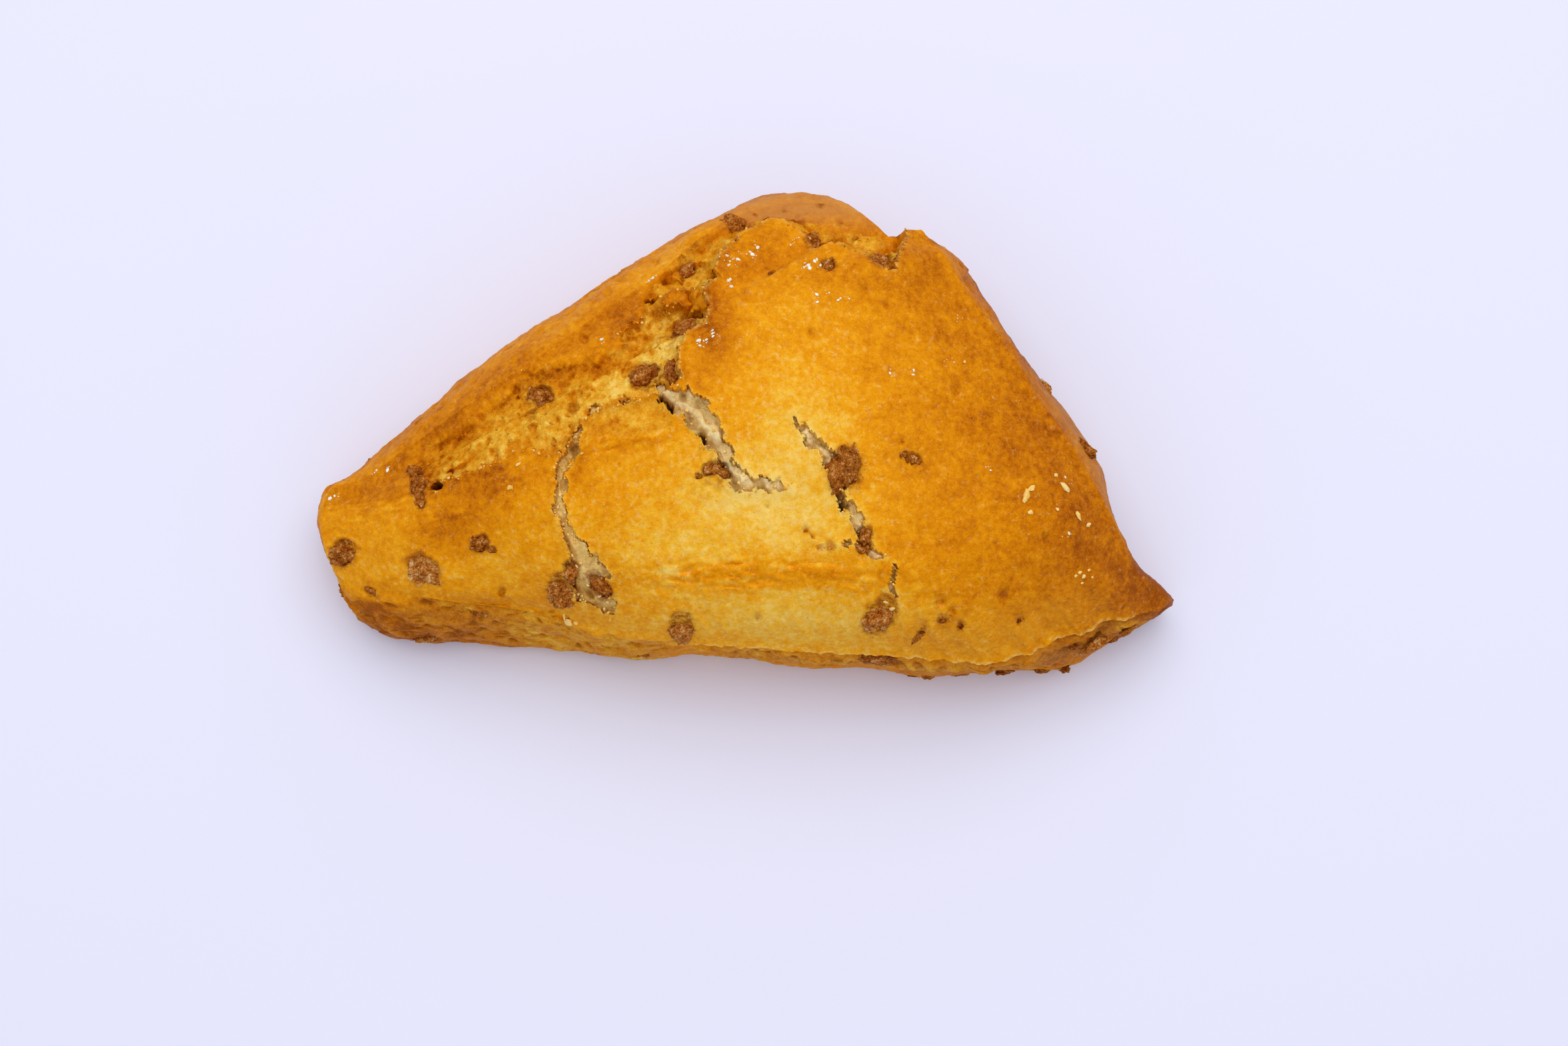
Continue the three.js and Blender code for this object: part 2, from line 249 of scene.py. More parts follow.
# %% [markdown]
# ## Noise
# Baked dough is uneven at every size, from slow waves to crumbs. Blender has noise textures, but the shape
# itself needs noise too, so it is worked out for whole arrays of points: first a fixed random direction for
# each corner of a lattice, then a smooth blend of what the corners say.

# %% Noise for arrays of points
HASH_X, HASH_Y, HASH_Z, HASH_SEED = 374761393, 668265263, 974711, 144269  # they set neighbours far apart
HASH_MIX, LOW_BITS = 1274126177, 0xFFFFFFFF  # a large odd number, and the lowest 32 bits


def lattice_random(cells, seed):
    """A fixed number from 0 to 1 for each whole-number cell: its numbers multiplied, mixed and cut short."""
    mixed = cells[..., 0] * HASH_X + cells[..., 1] * HASH_Y + cells[..., 2] * HASH_Z + seed * HASH_SEED
    mixed = mixed & LOW_BITS
    mixed = ((mixed ^ (mixed >> 13)) * HASH_MIX) & LOW_BITS
    return (mixed ^ (mixed >> 16)) / LOW_BITS


def noise(points, size, seed):
    """Gradient noise, about -1 to 1: each lattice corner has a random slope, and the slopes are blended."""
    scaled = points / size
    cell = np.floor(scaled).astype(np.int64)
    inside = scaled - cell
    weight = inside ** 3 * (inside * (inside * 6 - 15) + 10)
    total = np.zeros(points.shape[:-1])
    for corner in np.ndindex(2, 2, 2):
        slope = np.stack([lattice_random(cell + corner, seed + k) for k in (0, 7, 13)], -1) * 2 - 1
        share = np.prod(np.where(np.array(corner) == 1, weight, 1 - weight), -1)
        total += share * np.sum(slope * (inside - corner), -1)
    return 1.6 * total


def rough_noise(points, size, seed, octaves=3, gain=0.5):
    """Noise with finer and weaker noise added, each half the size of the one before."""
    return sum(gain ** k * noise(points, size / 2 ** k, seed + 31 * k) for k in range(octaves))


def pebbles(points, size, seed):
    """Distances to the nearest and second nearest of points scattered one to a cell, in cells, in plan."""
    scaled = points[..., :2] / size
    cell = np.floor(scaled).astype(np.int64)
    found = []
    for offset in np.ndindex(3, 3):
        here = cell + np.array(offset) - 1
        flat = np.concatenate([here, np.zeros_like(here[..., :1])], -1)
        site = here + np.stack([lattice_random(flat, seed + k) for k in (0, 5)], -1)
        found.append(np.linalg.norm(scaled - site, axis=-1))
    found = np.sort(np.stack(found), axis=0)
    return found[0], found[1]


def smooth_step(value, start=0.0, end=1.0):
    """0 below start, 1 above end, and 3t^2 - 2t^3 between them."""
    t = np.clip((value - start) / (end - start), 0, 1)
    return t * t * (3 - 2 * t)


print("noise at one point:", round(float(noise(np.array([[1.3, 2.1, 0.4]]), 5.0, 1)[0]), 3))

# %% [markdown]
# ## From arrays to a mesh
# A surface on a grid is an array of points, and its faces join neighbours in the array. The helper puts
# points and faces into a mesh in one go, which is far quicker than a loop over vertices, and stores the
# numbers that the material will read, such as how brown the crust is at each vertex.

# %% Mesh helpers


def quads_between(numbers, closed=False):
    """Quads joining neighbours in an array of vertex numbers; closed joins the last column to the first."""
    here, ahead = numbers[:, :-1], numbers[:, 1:]
    if closed:
        here, ahead = numbers, np.roll(numbers, -1, axis=1)
    return np.stack([here[:-1], here[1:], ahead[1:], ahead[:-1]], -1).reshape(-1, 4)


def mesh_piece(name, points, face_sets, material, values=None, sharp_degrees=55):
    """A smooth mesh object from points in mm and sets of faces, with a number a vertex for each value."""
    mesh = bpy.data.meshes.new(name)
    mesh.vertices.add(len(points))
    mesh.vertices.foreach_set("co", ((points + PLAN_SHIFT) * MM).astype(np.float32).ravel())
    corners = np.concatenate([faces.ravel() for faces in face_sets])
    sizes = np.concatenate([np.full(len(faces), faces.shape[1]) for faces in face_sets])
    mesh.loops.add(len(corners))
    mesh.loops.foreach_set("vertex_index", corners.astype(np.int32))
    mesh.polygons.add(len(sizes))
    mesh.polygons.foreach_set("loop_start", (np.cumsum(sizes) - sizes).astype(np.int32))
    mesh.update(calc_edges=True)
    mesh.validate()
    mesh.shade_smooth()
    mesh.set_sharp_from_angle(angle=math.radians(sharp_degrees))
    for key, numbers in (values or {}).items():
        mesh.attributes.new(key, "FLOAT", "POINT").data.foreach_set("value", numbers.astype(np.float32))
    mesh.materials.append(material)
    piece = bpy.data.objects.new(name, mesh)
    bpy.context.scene.collection.objects.link(piece)
    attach(piece, "root")
    triangles = int(np.sum(sizes - 2))
    print(f"{name}: {len(points)} vertices, {triangles} triangles")
    return piece


# %% [markdown]
# ## The outline
# Seen from above, the wedge has four sides: the long front, the right side up from the sharp end, the long
# back left, and the short blunt end. Two closed curves give its shape: the rim, where the top turns over, and
# the belly, where the walls are widest. Each is a smooth curve through a few points, so it is easy to change
# by hand.

# %% Rim and belly curves
SIDES = ("front", "right", "back", "left")
RIM = {  # x, y, z in mm, corner to corner
    "front": [
        (-65.5, -26, 16), (-50, -29.5, 22), (-35, -31.5, 23), (-22, -35, 23), (-9, -36.7, 23), (11, -38, 23),
        (27, -38.8, 22), (40, -39.3, 21), (53, -34.5, 21), (62, -31.7, 19),
    ],
    "right": [
        (68.5, -29, 15), (62, -24, 22), (57, -15.5, 27), (51, -6, 30), (45.5, 1.5, 32), (39.5, 11, 33),
        (33.5, 19, 33), (30.6, 24.4, 33), (28.6, 27, 31), (27.3, 29.2, 30), (26.2, 28.4, 29.5),
        (25.2, 26.6, 29), (24.2, 28, 27), (22.6, 29.6, 27), (19, 32.6, 27),
    ],
    "back": [
        (12.5, 35.3, 25), (4, 35.2, 25), (-3, 32.4, 26), (-9, 27.7, 28), (-13.5, 23, 30), (-24, 15, 31),
        (-34, 7.4, 31), (-45, 0.3, 29), (-56, -6.4, 24), (-62.5, -10, 20),
    ],
    "left": [(-68, -11.5, 17), (-69, -18.6, 17)],
}
BELLY = {
    "front": [
        (-65.6, -30.2, 6), (-59.6, -34.2, 5), (-44.6, -35.2, 5), (-31, -35.8, 5), (-18, -38, 5), (-9, -37, 6),
        (4, -38.3, 6), (18, -39.2, 6), (31, -40.6, 6), (42, -39.5, 6), (53.5, -39, 6), (58, -36.5, 7),
        (64.5, -33, 7),
    ],
    "right": [
        (71.4, -28, 8), (65.4, -24, 9), (60.5, -18.2, 10), (58.5, -7.5, 10), (53.2, 1.2, 10),
        (43.5, 14.2, 10), (38.5, 21.2, 11), (34.7, 26.8, 11), (30, 29.4, 12), (25.4, 28.8, 13),
        (21.5, 33, 12),
    ],
    "back": [
        (13, 39, 12), (4, 39.6, 12), (-4.6, 35.8, 11), (-13.5, 31.4, 10), (-31.4, 19.4, 10), (-48.5, 7, 10),
        (-57.5, -1.2, 10), (-66.4, -8.4, 9),
    ],
    "left": [(-70.2, -10.4, 9), (-70.9, -18, 9), (-67.6, -24.6, 8)],
}
CELLS_ALONG, CELLS_ACROSS = 384, 156  # cells of the top, from end to end and from front to back
CROWDING, CROWD_MIDDLE, CROWD_REACH = 0.9, 0.47, 0.25  # grid lines crowd together where the cracks are


def closed_spline(points, steps=40):
    """A centripetal Catmull-Rom curve: between two points, three rounds of blends of the four nearest."""
    p = [np.roll(points, shift, axis=0)[:, None] for shift in (1, 0, -1, -2)]
    gaps = [np.sqrt(np.linalg.norm(b - a, axis=-1, keepdims=True)) for a, b in zip(p, p[1:])]
    t = [0 * gaps[0], gaps[0], gaps[0] + gaps[1], gaps[0] + gaps[1] + gaps[2]]
    at = t[1] + (t[2] - t[1]) * (np.arange(steps) / steps)[None, :, None]

    def between(a, b, start, end):
        return ((end - at) * a + (at - start) * b) / (end - start)

    first = [between(p[k], p[k + 1], t[k], t[k + 1]) for k in range(3)]
    second = [between(first[k], first[k + 1], t[k], t[k + 2]) for k in range(2)]
    return between(second[0], second[1], t[1], t[2]).reshape(-1, 3)


def crowded_shares(count):
    """Shares of a length, 0 to 1: a running sum of one plus a soft hump, inverted, so they crowd there."""
    t = np.linspace(0, 1, 2001)
    density = 1 + CROWDING * np.exp(-(((t - CROWD_MIDDLE) / CROWD_REACH) ** 4))
    total = np.r_[0, np.cumsum((density[1:] + density[:-1]) / 2)]
    return np.interp(np.linspace(0, 1, count + 1), total / total[-1], t)


def resampled_sides(outline, shares, steps=40):
    """The closed curve cut at its four corners, each side resampled at the shares of its length in plan."""
    points = np.array([p for side in SIDES for p in outline[side]], float)
    curve = closed_spline(points, steps)
    corners = np.cumsum([0] + [len(outline[side]) for side in SIDES]) * steps
    sides = []
    for k, share in enumerate(shares):
        stretch = np.vstack([curve[corners[k]:corners[k + 1]], curve[corners[k + 1] % len(curve)]])
        length = np.r_[0, np.cumsum(np.linalg.norm(np.diff(stretch[:, :2], axis=0), axis=1))]
        wanted = share * length[-1]
        sides.append(np.stack([np.interp(wanted, length, stretch[:, axis]) for axis in range(3)], 1))
    return sides


along = crowded_shares(CELLS_ALONG)
across = np.linspace(0, 1, CELLS_ACROSS + 1)
shares = (along, across, 1 - along[::-1], across)
rim_sides = resampled_sides(RIM, shares)
front_rim = rim_sides[0]
front_x = front_rim[:, 0]
lip_share = smooth_step(front_x, -14, -6) * smooth_step(-front_x, -66, -60)
lip_raggedness = 0.55 + 0.3 * smooth_step(front_x, 22, 34)
lip_noise = rough_noise(front_rim * (1, 0, 0), 4.0, 19, octaves=4, gain=0.6)
front_rim[:, 1] += lip_share * lip_raggedness * lip_noise
belly = np.vstack([side[:-1] for side in resampled_sides(BELLY, shares)])
print("rim points:", sum(len(side) - 1 for side in rim_sides))

# %% [markdown]
# ## The top, before it tears
# Four curves that meet at corners can be spanned by a Coons patch: blend front to back, add blend left to
# right, and take away the blend of the corners, which was counted twice. The crown then swells the middle. It
# fades towards each side over that side's own distance, so the back falls more gently than the front.

# %% Top patch
CROWN_RISE = 8.5
FRONT_ROLL, BACK_ROLL, BLUNT_END_ROLL, SHARP_END_ROLL = 9.0, 11.0, 24.0, 16.0


def roll(distance, reach):
    """The crown's share at a distance from a side: one minus e to the power -(distance / reach)^1.4."""
    return 1 - np.exp(-((distance / reach) ** 1.4))


def top_patch(front, right, back, left):
    """A Coons patch over the four sides plus the crown, as an array of points (along, across, 3)."""
    u, v = along[:, None, None], across[None, :, None]
    near, far = front[:, None], back[::-1][:, None]
    blunt, sharp = left[::-1][None], right[None]
    corners = (1 - u) * (1 - v) * front[0] + u * (1 - v) * right[0] + u * v * back[0] + (1 - u) * v * left[0]
    patch = (1 - v) * near + v * far + (1 - u) * blunt + u * sharp - corners
    span = np.linalg.norm((far - near)[..., :2], axis=-1)
    reach = np.linalg.norm((sharp - blunt)[..., :2], axis=-1)
    u, v = u[..., 0], v[..., 0]
    swell = roll(v * span, FRONT_ROLL) * roll((1 - v) * span, BACK_ROLL)
    swell = swell * roll(u * reach, BLUNT_END_ROLL) * roll((1 - u) * reach, SHARP_END_ROLL)
    patch[..., 2] += CROWN_RISE * swell
    return patch


top = top_patch(*rim_sides)
print("top of the crown, mm:", round(float(top[..., 2].max()), 1))

# %% [markdown]
# ## Torn edges and cracks
# A tear is known by its distance: how far a point lies inside a closed line, or outside a crack of changing
# width. Noise added to that distance makes the edge ragged without any extra points, and steps and grooves
# are then simple functions of it. Cutting with booleans would give cleaner but much duller edges.

# %% Distances to tears and cracks
PLATEAU_EDGE = [  # the torn edge of the main plate of crust, from the middle crack round the back
    (-10.4, 2.5), (-11.1, 4.3), (-11, 6.6), (-10.4, 9), (-8.4, 10.6), (-6.7, 12.4), (-6.2, 14.9),
    (-7.4, 16.9), (-7, 18.8), (-5.4, 20.4), (-5.2, 23.7), (-4.1, 25.8), (-1.7, 28), (0.5, 29.5), (2.7, 31.2),
    (5.5, 30.7), (8.1, 28.6), (10.2, 25.6), (14, 25.5), (15.5, 24.4), (18.1, 23.2), (20.5, 21.1),
    (22.4, 20.8), (22.8, 23.1), (24.1, 25.8), (24.8, 27.6), (25.2, 33),
]
SMALL_PLATES_EDGE = [  # the upper edges of the middle and left plates, from right to left
    (-13.8, 0), (-18.7, -0.6), (-22.9, -1.8), (-25.8, -3.9), (-26.7, -6), (-28.1, -7.3), (-29.2, -8.7),
    (-33, -7.9), (-36.5, -8.7), (-39, -9.5), (-42.4, -10.4), (-45.9, -11.2), (-47.6, -12), (-50.1, -14),
]
TORN_PATCH = [  # the dough that lost its skin, on the side away from the plates
    (-52, -12.5), (-53, -9), (-52.2, -5.3), (-49.7, -3.9), (-46.7, -3.1), (-43.8, -1.6), (-42.3, -0.1),
    (-39, 1.6), (-37.4, 4.2), (-35, 5.7), (-31.8, 6.3), (-28.2, 7), (-24.6, 7.2), (-20.9, 8.6), (-20.4, 11),
    (-18.2, 13.3), (-17, 16), (-17.4, 20), (-16, 24), (-12.5, 28), (-8, 31), (-4, 32), (-1, 31),
]
TERRACE = [  # a strip at the back of the middle plate that lies a little lower, inside a low ridge of crust
    (-13.2, -0.6), (-18.7, -0.9), (-22.9, -2.1), (-25.8, -4.2), (-26.9, -6.3), (-28.3, -9.4), (-28.9, -12.6),
    (-28, -12.1), (-26.8, -10.1), (-25.8, -8), (-24.5, -6.9), (-22.7, -6.5), (-20.9, -7.1), (-18, -6.9),
    (-14.5, -6.1), (-12.4, -5.6), (-11.8, -3.6),
]
BEHIND_PLATEAU = PLATEAU_EDGE + [(28, 45), (-90, 45), (-90, -14)] + SMALL_PLATES_EDGE[::-1]
TORN_OUTLINE = TORN_PATCH + PLATEAU_EDGE[11::-1] + SMALL_PLATES_EDGE
FLAP = [  # a bit of skin left in the torn patch
    (-14.6, 17.6), (-12.1, 18.9), (-9, 18.7), (-6.4, 17.6), (-6.6, 14.9), (-9.2, 14.4), (-11.4, 15.4),
    (-13.6, 15.2),
]
CRACKS = {  # x, y, half width and depth along each crack's line
    "middle": [
        (-13.8, 1.6, 0.5, 3.5), (-13, -0.4, 1.1, 5), (-9.8, -1.9, 2.1, 2.2), (-7.2, -4.3, 2.2, 2.4),
        (-5.9, -6.5, 1.8, 2.6), (-4.2, -8.6, 0.9, 4), (-3.5, -11, 1.1, 3.2), (-1.9, -13.1, 1.5, 2.4),
        (1, -13.7, 1.1, 2.4), (4, -14.2, 0.7, 5.5), (6.3, -14.7, 0.08, 4),
    ],
    "right": [
        (6.4, -2.9, 0.08, 1), (7.4, -5.1, 0.4, 3.4), (9.3, -7.3, 0.9, 2.2), (11.3, -8.9, 1, 3),
        (13.4, -11.4, 1.8, 4), (13.1, -14.3, 0.9, 4.5), (14.6, -16.8, 0.8, 4), (16.1, -18.7, 0.85, 2.4),
        (17.3, -21, 0.7, 3), (17.9, -23, 0.6, 3), (19.1, -24.5, 0.5, 1.6), (21.2, -25.1, 0.12, 1),
        (22.1, -25.7, 0.3, 2), (21.9, -26.9, 0.5, 2.8), (21.6, -28, 0.2, 2), (21.7, -29.4, 0.42, 3),
        (22.5, -30.5, 0.08, 1), (23.4, -31.6, 0.05, 0.6),
    ],
    "side": [
        (16.8, -22.7, 0.5, 1.4), (14.6, -22.9, 0.22, 0.9), (13.3, -22.9, 0.06, 0.5), (12.9, -23, 0.3, 1.6),
        (11.5, -23.1, 0.3, 1.6), (10.8, -23, 0.04, 0.3),
    ],
    "outer": [(-37.9, 7.6, 0.04, 0.4), (-37, 6.5, 0.2, 1.4), (-36, 5.4, 0.04, 0.4)],
    "left": [
        (-16.8, -1, 0.08, 1), (-18.8, -0.9, 0.2, 1.6), (-22.4, -1.4, 0.2, 1.6), (-24.2, -1.7, 0.5, 2.4),
        (-25.5, -3.6, 0.45, 3), (-26.6, -6, 0.6, 3), (-27.3, -8.4, 0.8, 2), (-28.9, -11.2, 1.0, 1.8),
        (-29.3, -14.5, 0.8, 2.4), (-29.2, -16.8, 1.1, 2.6), (-28.7, -19.1, 0.8, 2.4), (-27.8, -21.4, 0.75, 2),
        (-26.6, -23.5, 1.5, 1.8), (-25.5, -25.7, 2.4, 1.7), (-24.6, -28.3, 3, 1.5), (-22.3, -30.7, 1.5, 1.5),
        (-21.4, -32.4, 0.3, 1),
    ],
}
RAGGED = 0.75  # how far noise moves a torn edge, in mm
SWAY = 0.6  # how far noise bends a crack to and fro, in mm


def along_stretch(x, y, ax, ay, bx, by):
    """How far along the stretch from a to b the place nearest to each x, y is, 0 to 1, and its distance."""
    dx, dy = bx - ax, by - ay
    t = np.clip(((x - ax) * dx + (y - ay) * dy) / (dx ** 2 + dy ** 2), 0, 1)
    return t, np.hypot(x - ax - t * dx, y - ay - t * dy)


def inside_distance(polygon, points):
    """Signed distance in plan to a closed polygon, positive inside, from its edges and crossings."""
    corners = np.array(polygon, float)
    x, y = points[..., 0], points[..., 1]
    nearest = np.full(x.shape, np.inf)
    inside = np.zeros(x.shape, bool)
    for (ax, ay), (bx, by) in zip(corners, np.roll(corners, -1, axis=0)):
        nearest = np.minimum(nearest, along_stretch(x, y, ax, ay, bx, by)[1])
        if ay != by:
            inside ^= ((ay > y) != (by > y)) & (x < ax + (y - ay) * (bx - ax) / (by - ay))
    return np.where(inside, nearest, -nearest)


def crack_distance(line, points):
    """Distance in plan from the edge of a crack, negative inside, and the crack's depth and half width there.
    The distance to each stretch of the line has its half width taken away, and the least one counts."""
    x, y = points[..., 0], points[..., 1]
    least = np.full(x.shape, np.inf)
    depth, width = np.zeros(x.shape), np.zeros(x.shape)
    for (ax, ay, aw, ad), (bx, by, bw, bd) in zip(line, line[1:]):
        t, to_line = along_stretch(x, y, ax, ay, bx, by)
        half_width = aw + t * (bw - aw)
        away = to_line - half_width
        depth = np.where(away < least, ad + t * (bd - ad), depth)
        width = np.where(away < least, half_width, width)
        least = np.minimum(least, away)
    return least, depth, width


def flat_copy(points):
    """The points with their height set to zero, for noise that must not change down a steep wall."""
    return np.concatenate([points[..., :2], np.zeros_like(points[..., :1])], -1)


def nearest_crack(points):
    """Least distance to any crack, made ragged, with that crack's depth. Narrow cracks are less ragged."""
    plan = flat_copy(points)
    jitter = RAGGED * rough_noise(plan, 1.9, 11, octaves=4, gain=0.7)
    swayed = points + SWAY * np.stack([noise(plan, 1.6, 14), noise(plan, 1.6, 15), 0 * plan[..., 0]], -1)
    least = np.full(points.shape[:-1], np.inf)
    depth, width = np.zeros(points.shape[:-1]), np.zeros(points.shape[:-1])
    for line in CRACKS.values():
        away, deep, wide = crack_distance(line, swayed)
        depth = np.where(away < least, deep, depth)
        width = np.where(away < least, wide, width)
        least = np.minimum(least, away)
    jitter *= np.clip(0.3 + 0.7 * width / 1.1, 0, 1)
    return least + jitter * smooth_step(least, -3.0, 0.0) * smooth_step(-least, -2.5, -0.2), depth


print("cracks:", ", ".join(CRACKS))

# %% [markdown]
# ## Relief of the top
# The back edge of the crust has lifted off and the dough behind it has sunk, so there is a step. In the torn
# patch the skin is missing, apart from one flap, and lies a little lower. So does a strip at the back of the
# middle plate. Each edge is sharp on the crust's side. Grid points that lie close to an edge are moved onto
# it, so that the edge is a clean ragged line and not a staircase.

# %% Relief of the top
WAVE_HEIGHT, TORN_DEPTH, LOBE_DROP, CRUST_LIFT = 0.35, 1.3, 3.6, 1.6
STEP_SHARE, STEP_WIDTH, TERRACE_DEPTH, FLAP_RISE = 0.34, 0.35, 0.5, 0.9
TORN_RAGGED, FLAP_RAGGED, LOBE_RAGGED = 0.9, 0.4, 0.6  # how far noise moves each of these edges
BARE_SINK = 1.9  # how far the crust's own surface goes below the bare crumb
FADE_ROWS, FADE_COLUMNS = 70, 137  # steps across and along the top that its fade at the rim is counted in
CREASES = {  # x, y along each crease of the skin, its half width and its depth
    "blunt end": (
        [(-61.9, -28.2), (-57.4, -29.2), (-49.7, -29.3), (-43.2, -30.2), (-35, -31), (-29, -32.4)], 0.45, 1.2,
    ),
    "front": ([(-25, -27), (-15, -27.6), (-2.6, -27.2), (7.7, -27.8), (15, -27.2), (21, -27.9)], 0.5, 0.15),
}
WRINKLES = {  # middle x, y, reach along, reach across, turn in degrees and height of each band of fine ridges
    "front": (4, -27.4, 22, 2.8, -1, 0.6),
    "front right": (34, -30, 16, 2.0, 4, 0.2),
    "left plate": (-45, -17, 8, 1.6, 5, 0.18),
    "centre plate": (-20, -7.5, 7, 1.8, 8, 0.35),
    "blunt end": (-60, -15, 9, 2.6, 5, 0.25),
}
DIMPLES = [  # x, y, radius and depth of small holes in the crust
    (17.6, 17.6, 0.6, 0.8), (21, 15, 0.45, 0.6), (9.2, 10, 0.5, 0.6), (31.8, 1.6, 0.7, 0.9),
    (46, -21, 0.7, 0.9), (8.4, -20.6, 0.5, 1.2), (9.4, -21.5, 0.35, 0.8), (10.6, -23.2, 0.5, 1.2),
    (12.2, -23, 0.7, 1.5), (23.2, -6.9, 0.4, 0.8), (-14.7, 15.4, 0.9, 0.9), (29.6, -31, 0.8, 1.1),
    (31.4, -32, 0.6, 1), (39.5, -29.5, 0.8, 0.9), (27, -35, 0.5, 0.8), (-34.2, -1.6, 1.1, 1.2),
    (-27.5, -1.4, 0.9, 1.6), (-49.1, -12.3, 0.9, 2.8), (-26.2, 10.6, 0.8, 0.9), (-6.5, 20.9, 0.5, 1.2),
    (57, -34.5, 0.9, 1.4), (-39, -28.6, 0.7, 1), (2.5, -17, 0.25, 0.3), (1.2, -33, 0.5, 0.6),
    (12.7, 27.4, 0.8, 0.9), (17, 28.7, 0.7, 0.8), (11.4, 34.9, 0.6, 0.7), (-9.5, 27.4, 0.8, 0.8),
    (-6.4, 27.6, 0.6, 0.7), (-10.9, 24.7, 0.8, 0.9), (5.6, 34, 0.4, 0.4), (0.8, 33.4, 0.4, 0.5),
    (8.6, 31.6, 0.5, 0.5), (14.6, 31.4, 0.45, 0.5),
]
HOLLOWS = [  # x, y, reach along, reach across, turn, depth (a knob's is negative) and how much browner it is
    # The browner tone of the slit at -15.6, 17.3 and of the deep hole at -49.4, -12.4 is painted shade in
    # them.
    (-21.0, 2.4, 3.7, 2.6, 5, 0.9, -0.22), (-16.9, 6.9, 2.2, 1.3, 5, 0.4, -0.2),
    (-18.3, 9.8, 2.1, 1.4, 15, 0.8, -0.24), (-14.0, 12.7, 2.3, 1.7, 20, 1.0, -0.1),
    (-10.2, 12.9, 2.4, 1.2, 15, 1.0, 0.1), (-15.6, 17.3, 1.5, 0.35, 8, 1.8, 0.4),
    (-8.4, 21.6, 3.1, 2.3, 35, 1.7, -0.06), (-40.3, 0.4, 2.4, 1.7, 30, 0.5, 0.0),
    (-34.6, -0.6, 1.3, 1.2, 0, 0.5, 0.0), (-33.7, -4.1, 0.7, 0.6, 0, 0.8, 0.2),
    (-26.9, 0.4, 1.0, 1.3, -20, 1.0, -0.05), (-27.5, -4.4, 0.6, 0.5, 0, 0.7, 0.1),
    (-46.0, -10.0, 1.6, 0.8, 25, 1.4, 0.0), (-49.4, -12.4, 1.2, 0.5, 25, 2.8, 0.5),
    (-41.8, -8.0, 2.0, 1.2, 15, 0.6, 0.15), (-48.9, -5.7, 0.7, 0.6, 0, 0.6, 0.2),
    (-47.2, -7.9, 0.6, 0.5, 0, 0.5, 0.15), (-37.0, 2.6, 0.9, 0.7, 0, 0.6, 0.2),
    (-43.6, -6.2, 1.9, 1.2, 20, -0.5, -0.1), (-30.4, -2.3, 2.3, 1.4, 20, -0.6, 0.0),
    (-38.3, -5.0, 1.9, 1.2, 30, -0.5, -0.08), (-12.8, 22.8, 1.7, 1.2, 0, -0.6, 0.1),
    (-24.8, 5.6, 1.8, 1.0, 25, -0.4, 0.15), (-31.5, 4.8, 2.0, 0.9, 20, -0.4, 0.2),
]


def line_distance(line, points):
    """Distance in plan to the nearest stretch of an open line."""
    flat = [(x, y, 0, 0) for x, y in line]
    return crack_distance(flat, points)[0]


def turned(points, x, y, degrees):
    """Plan coordinates from a middle point, along and across a direction."""
    c, s = math.cos(math.radians(degrees)), math.sin(math.radians(degrees))
    dx, dy = points[..., 0] - x, points[..., 1] - y
    return c * dx + s * dy, c * dy - s * dx


def edge_noise(points):
    return rough_noise(flat_copy(points), 2.6, 21, octaves=4, gain=0.62)


def tear_distances(points):
    """Ragged signed distances to the torn patch and the sunken lobe (positive inside) and to the cracks."""
    ragged = edge_noise(points)
    in_patch = inside_distance(TORN_OUTLINE, points) + TORN_RAGGED * ragged
    outside_flap = FLAP_RAGGED * ragged - inside_distance(FLAP, points)
    torn = np.minimum(in_patch, outside_flap)
    behind = np.sign(inside_distance(BEHIND_PLATEAU, points))
    lobe = behind * line_distance(PLATEAU_EDGE, points) + LOBE_RAGGED * ragged
    return (torn, lobe, *nearest_crack(points))


def snapped(points, reach=0.17, probe=0.05):
    """The points, where those near a torn edge are moved onto it, against the slope of its distance."""
    moved = points.copy()
    for which in range(3):
        here = tear_distances(moved)[which]
        sideways = [tear_distances(moved + probe * np.eye(3)[axis])[which] for axis in (0, 1)]
        slope = np.stack([(there - here) / probe for there in sideways], -1)
        steep = np.maximum(np.sum(slope ** 2, -1), 0.25)
        near = np.abs(here) < reach
        shift = -np.clip(here / steep, -reach, reach)[..., None] * slope
        moved[..., :2] += np.where(near[..., None], np.clip(shift, -reach, reach), 0)
    return moved


def terrace_distance(points):
    """Ragged distance in plan into the terrace, negative outside it."""
    return inside_distance(TERRACE, points) + 0.6 * edge_noise(points)


def broad_relief(points, torn_share, lobe):
    """Waves of the dough, the lift of the torn back edge, the lobe's drop, which fades to the back, the lost
    skin, the flap and the terrace. Lift and drop are a small ragged step and then a slope, steep only at the
    plateau's corner."""
    x, y = points[..., 0], points[..., 1]
    waves = np.sin(x / 7 + y / 11) + np.sin(x / 12 - y / 6 + 1.3) + np.sin(y / 5 + x / 19 + 2.1)
    even = lobe - LOBE_RAGGED * edge_noise(points) + 0.5 * noise(points, 2.4, 29)
    reach = 2.7 - 2.0 * np.exp(-(((x - 24.5) / 4) ** 2) - ((y - 27) / 4) ** 2)
    edge, slope = smooth_step(lobe, 0.0, STEP_WIDTH), smooth_step(even, 0.1, reach) * (lobe > 0)
    flap = smooth_step(inside_distance(FLAP, points) - FLAP_RAGGED * edge_noise(points), 0.0, 0.4)
    fall = STEP_SHARE * edge + (1 - STEP_SHARE) * slope
    lift = CRUST_LIFT * (1 - fall) * np.exp(-np.maximum(0, -lobe) / 6)
    drop = LOBE_DROP * fall * np.exp(-np.maximum(0, lobe) / 7) * (1 - 0.35 * flap)
    terrace = smooth_step(terrace_distance(points), -0.2, 0.5)
    dough = WAVE_HEIGHT * waves / 1.5 + lift - drop
    return dough - TORN_DEPTH * torn_share + FLAP_RISE * flap - TERRACE_DEPTH * terrace


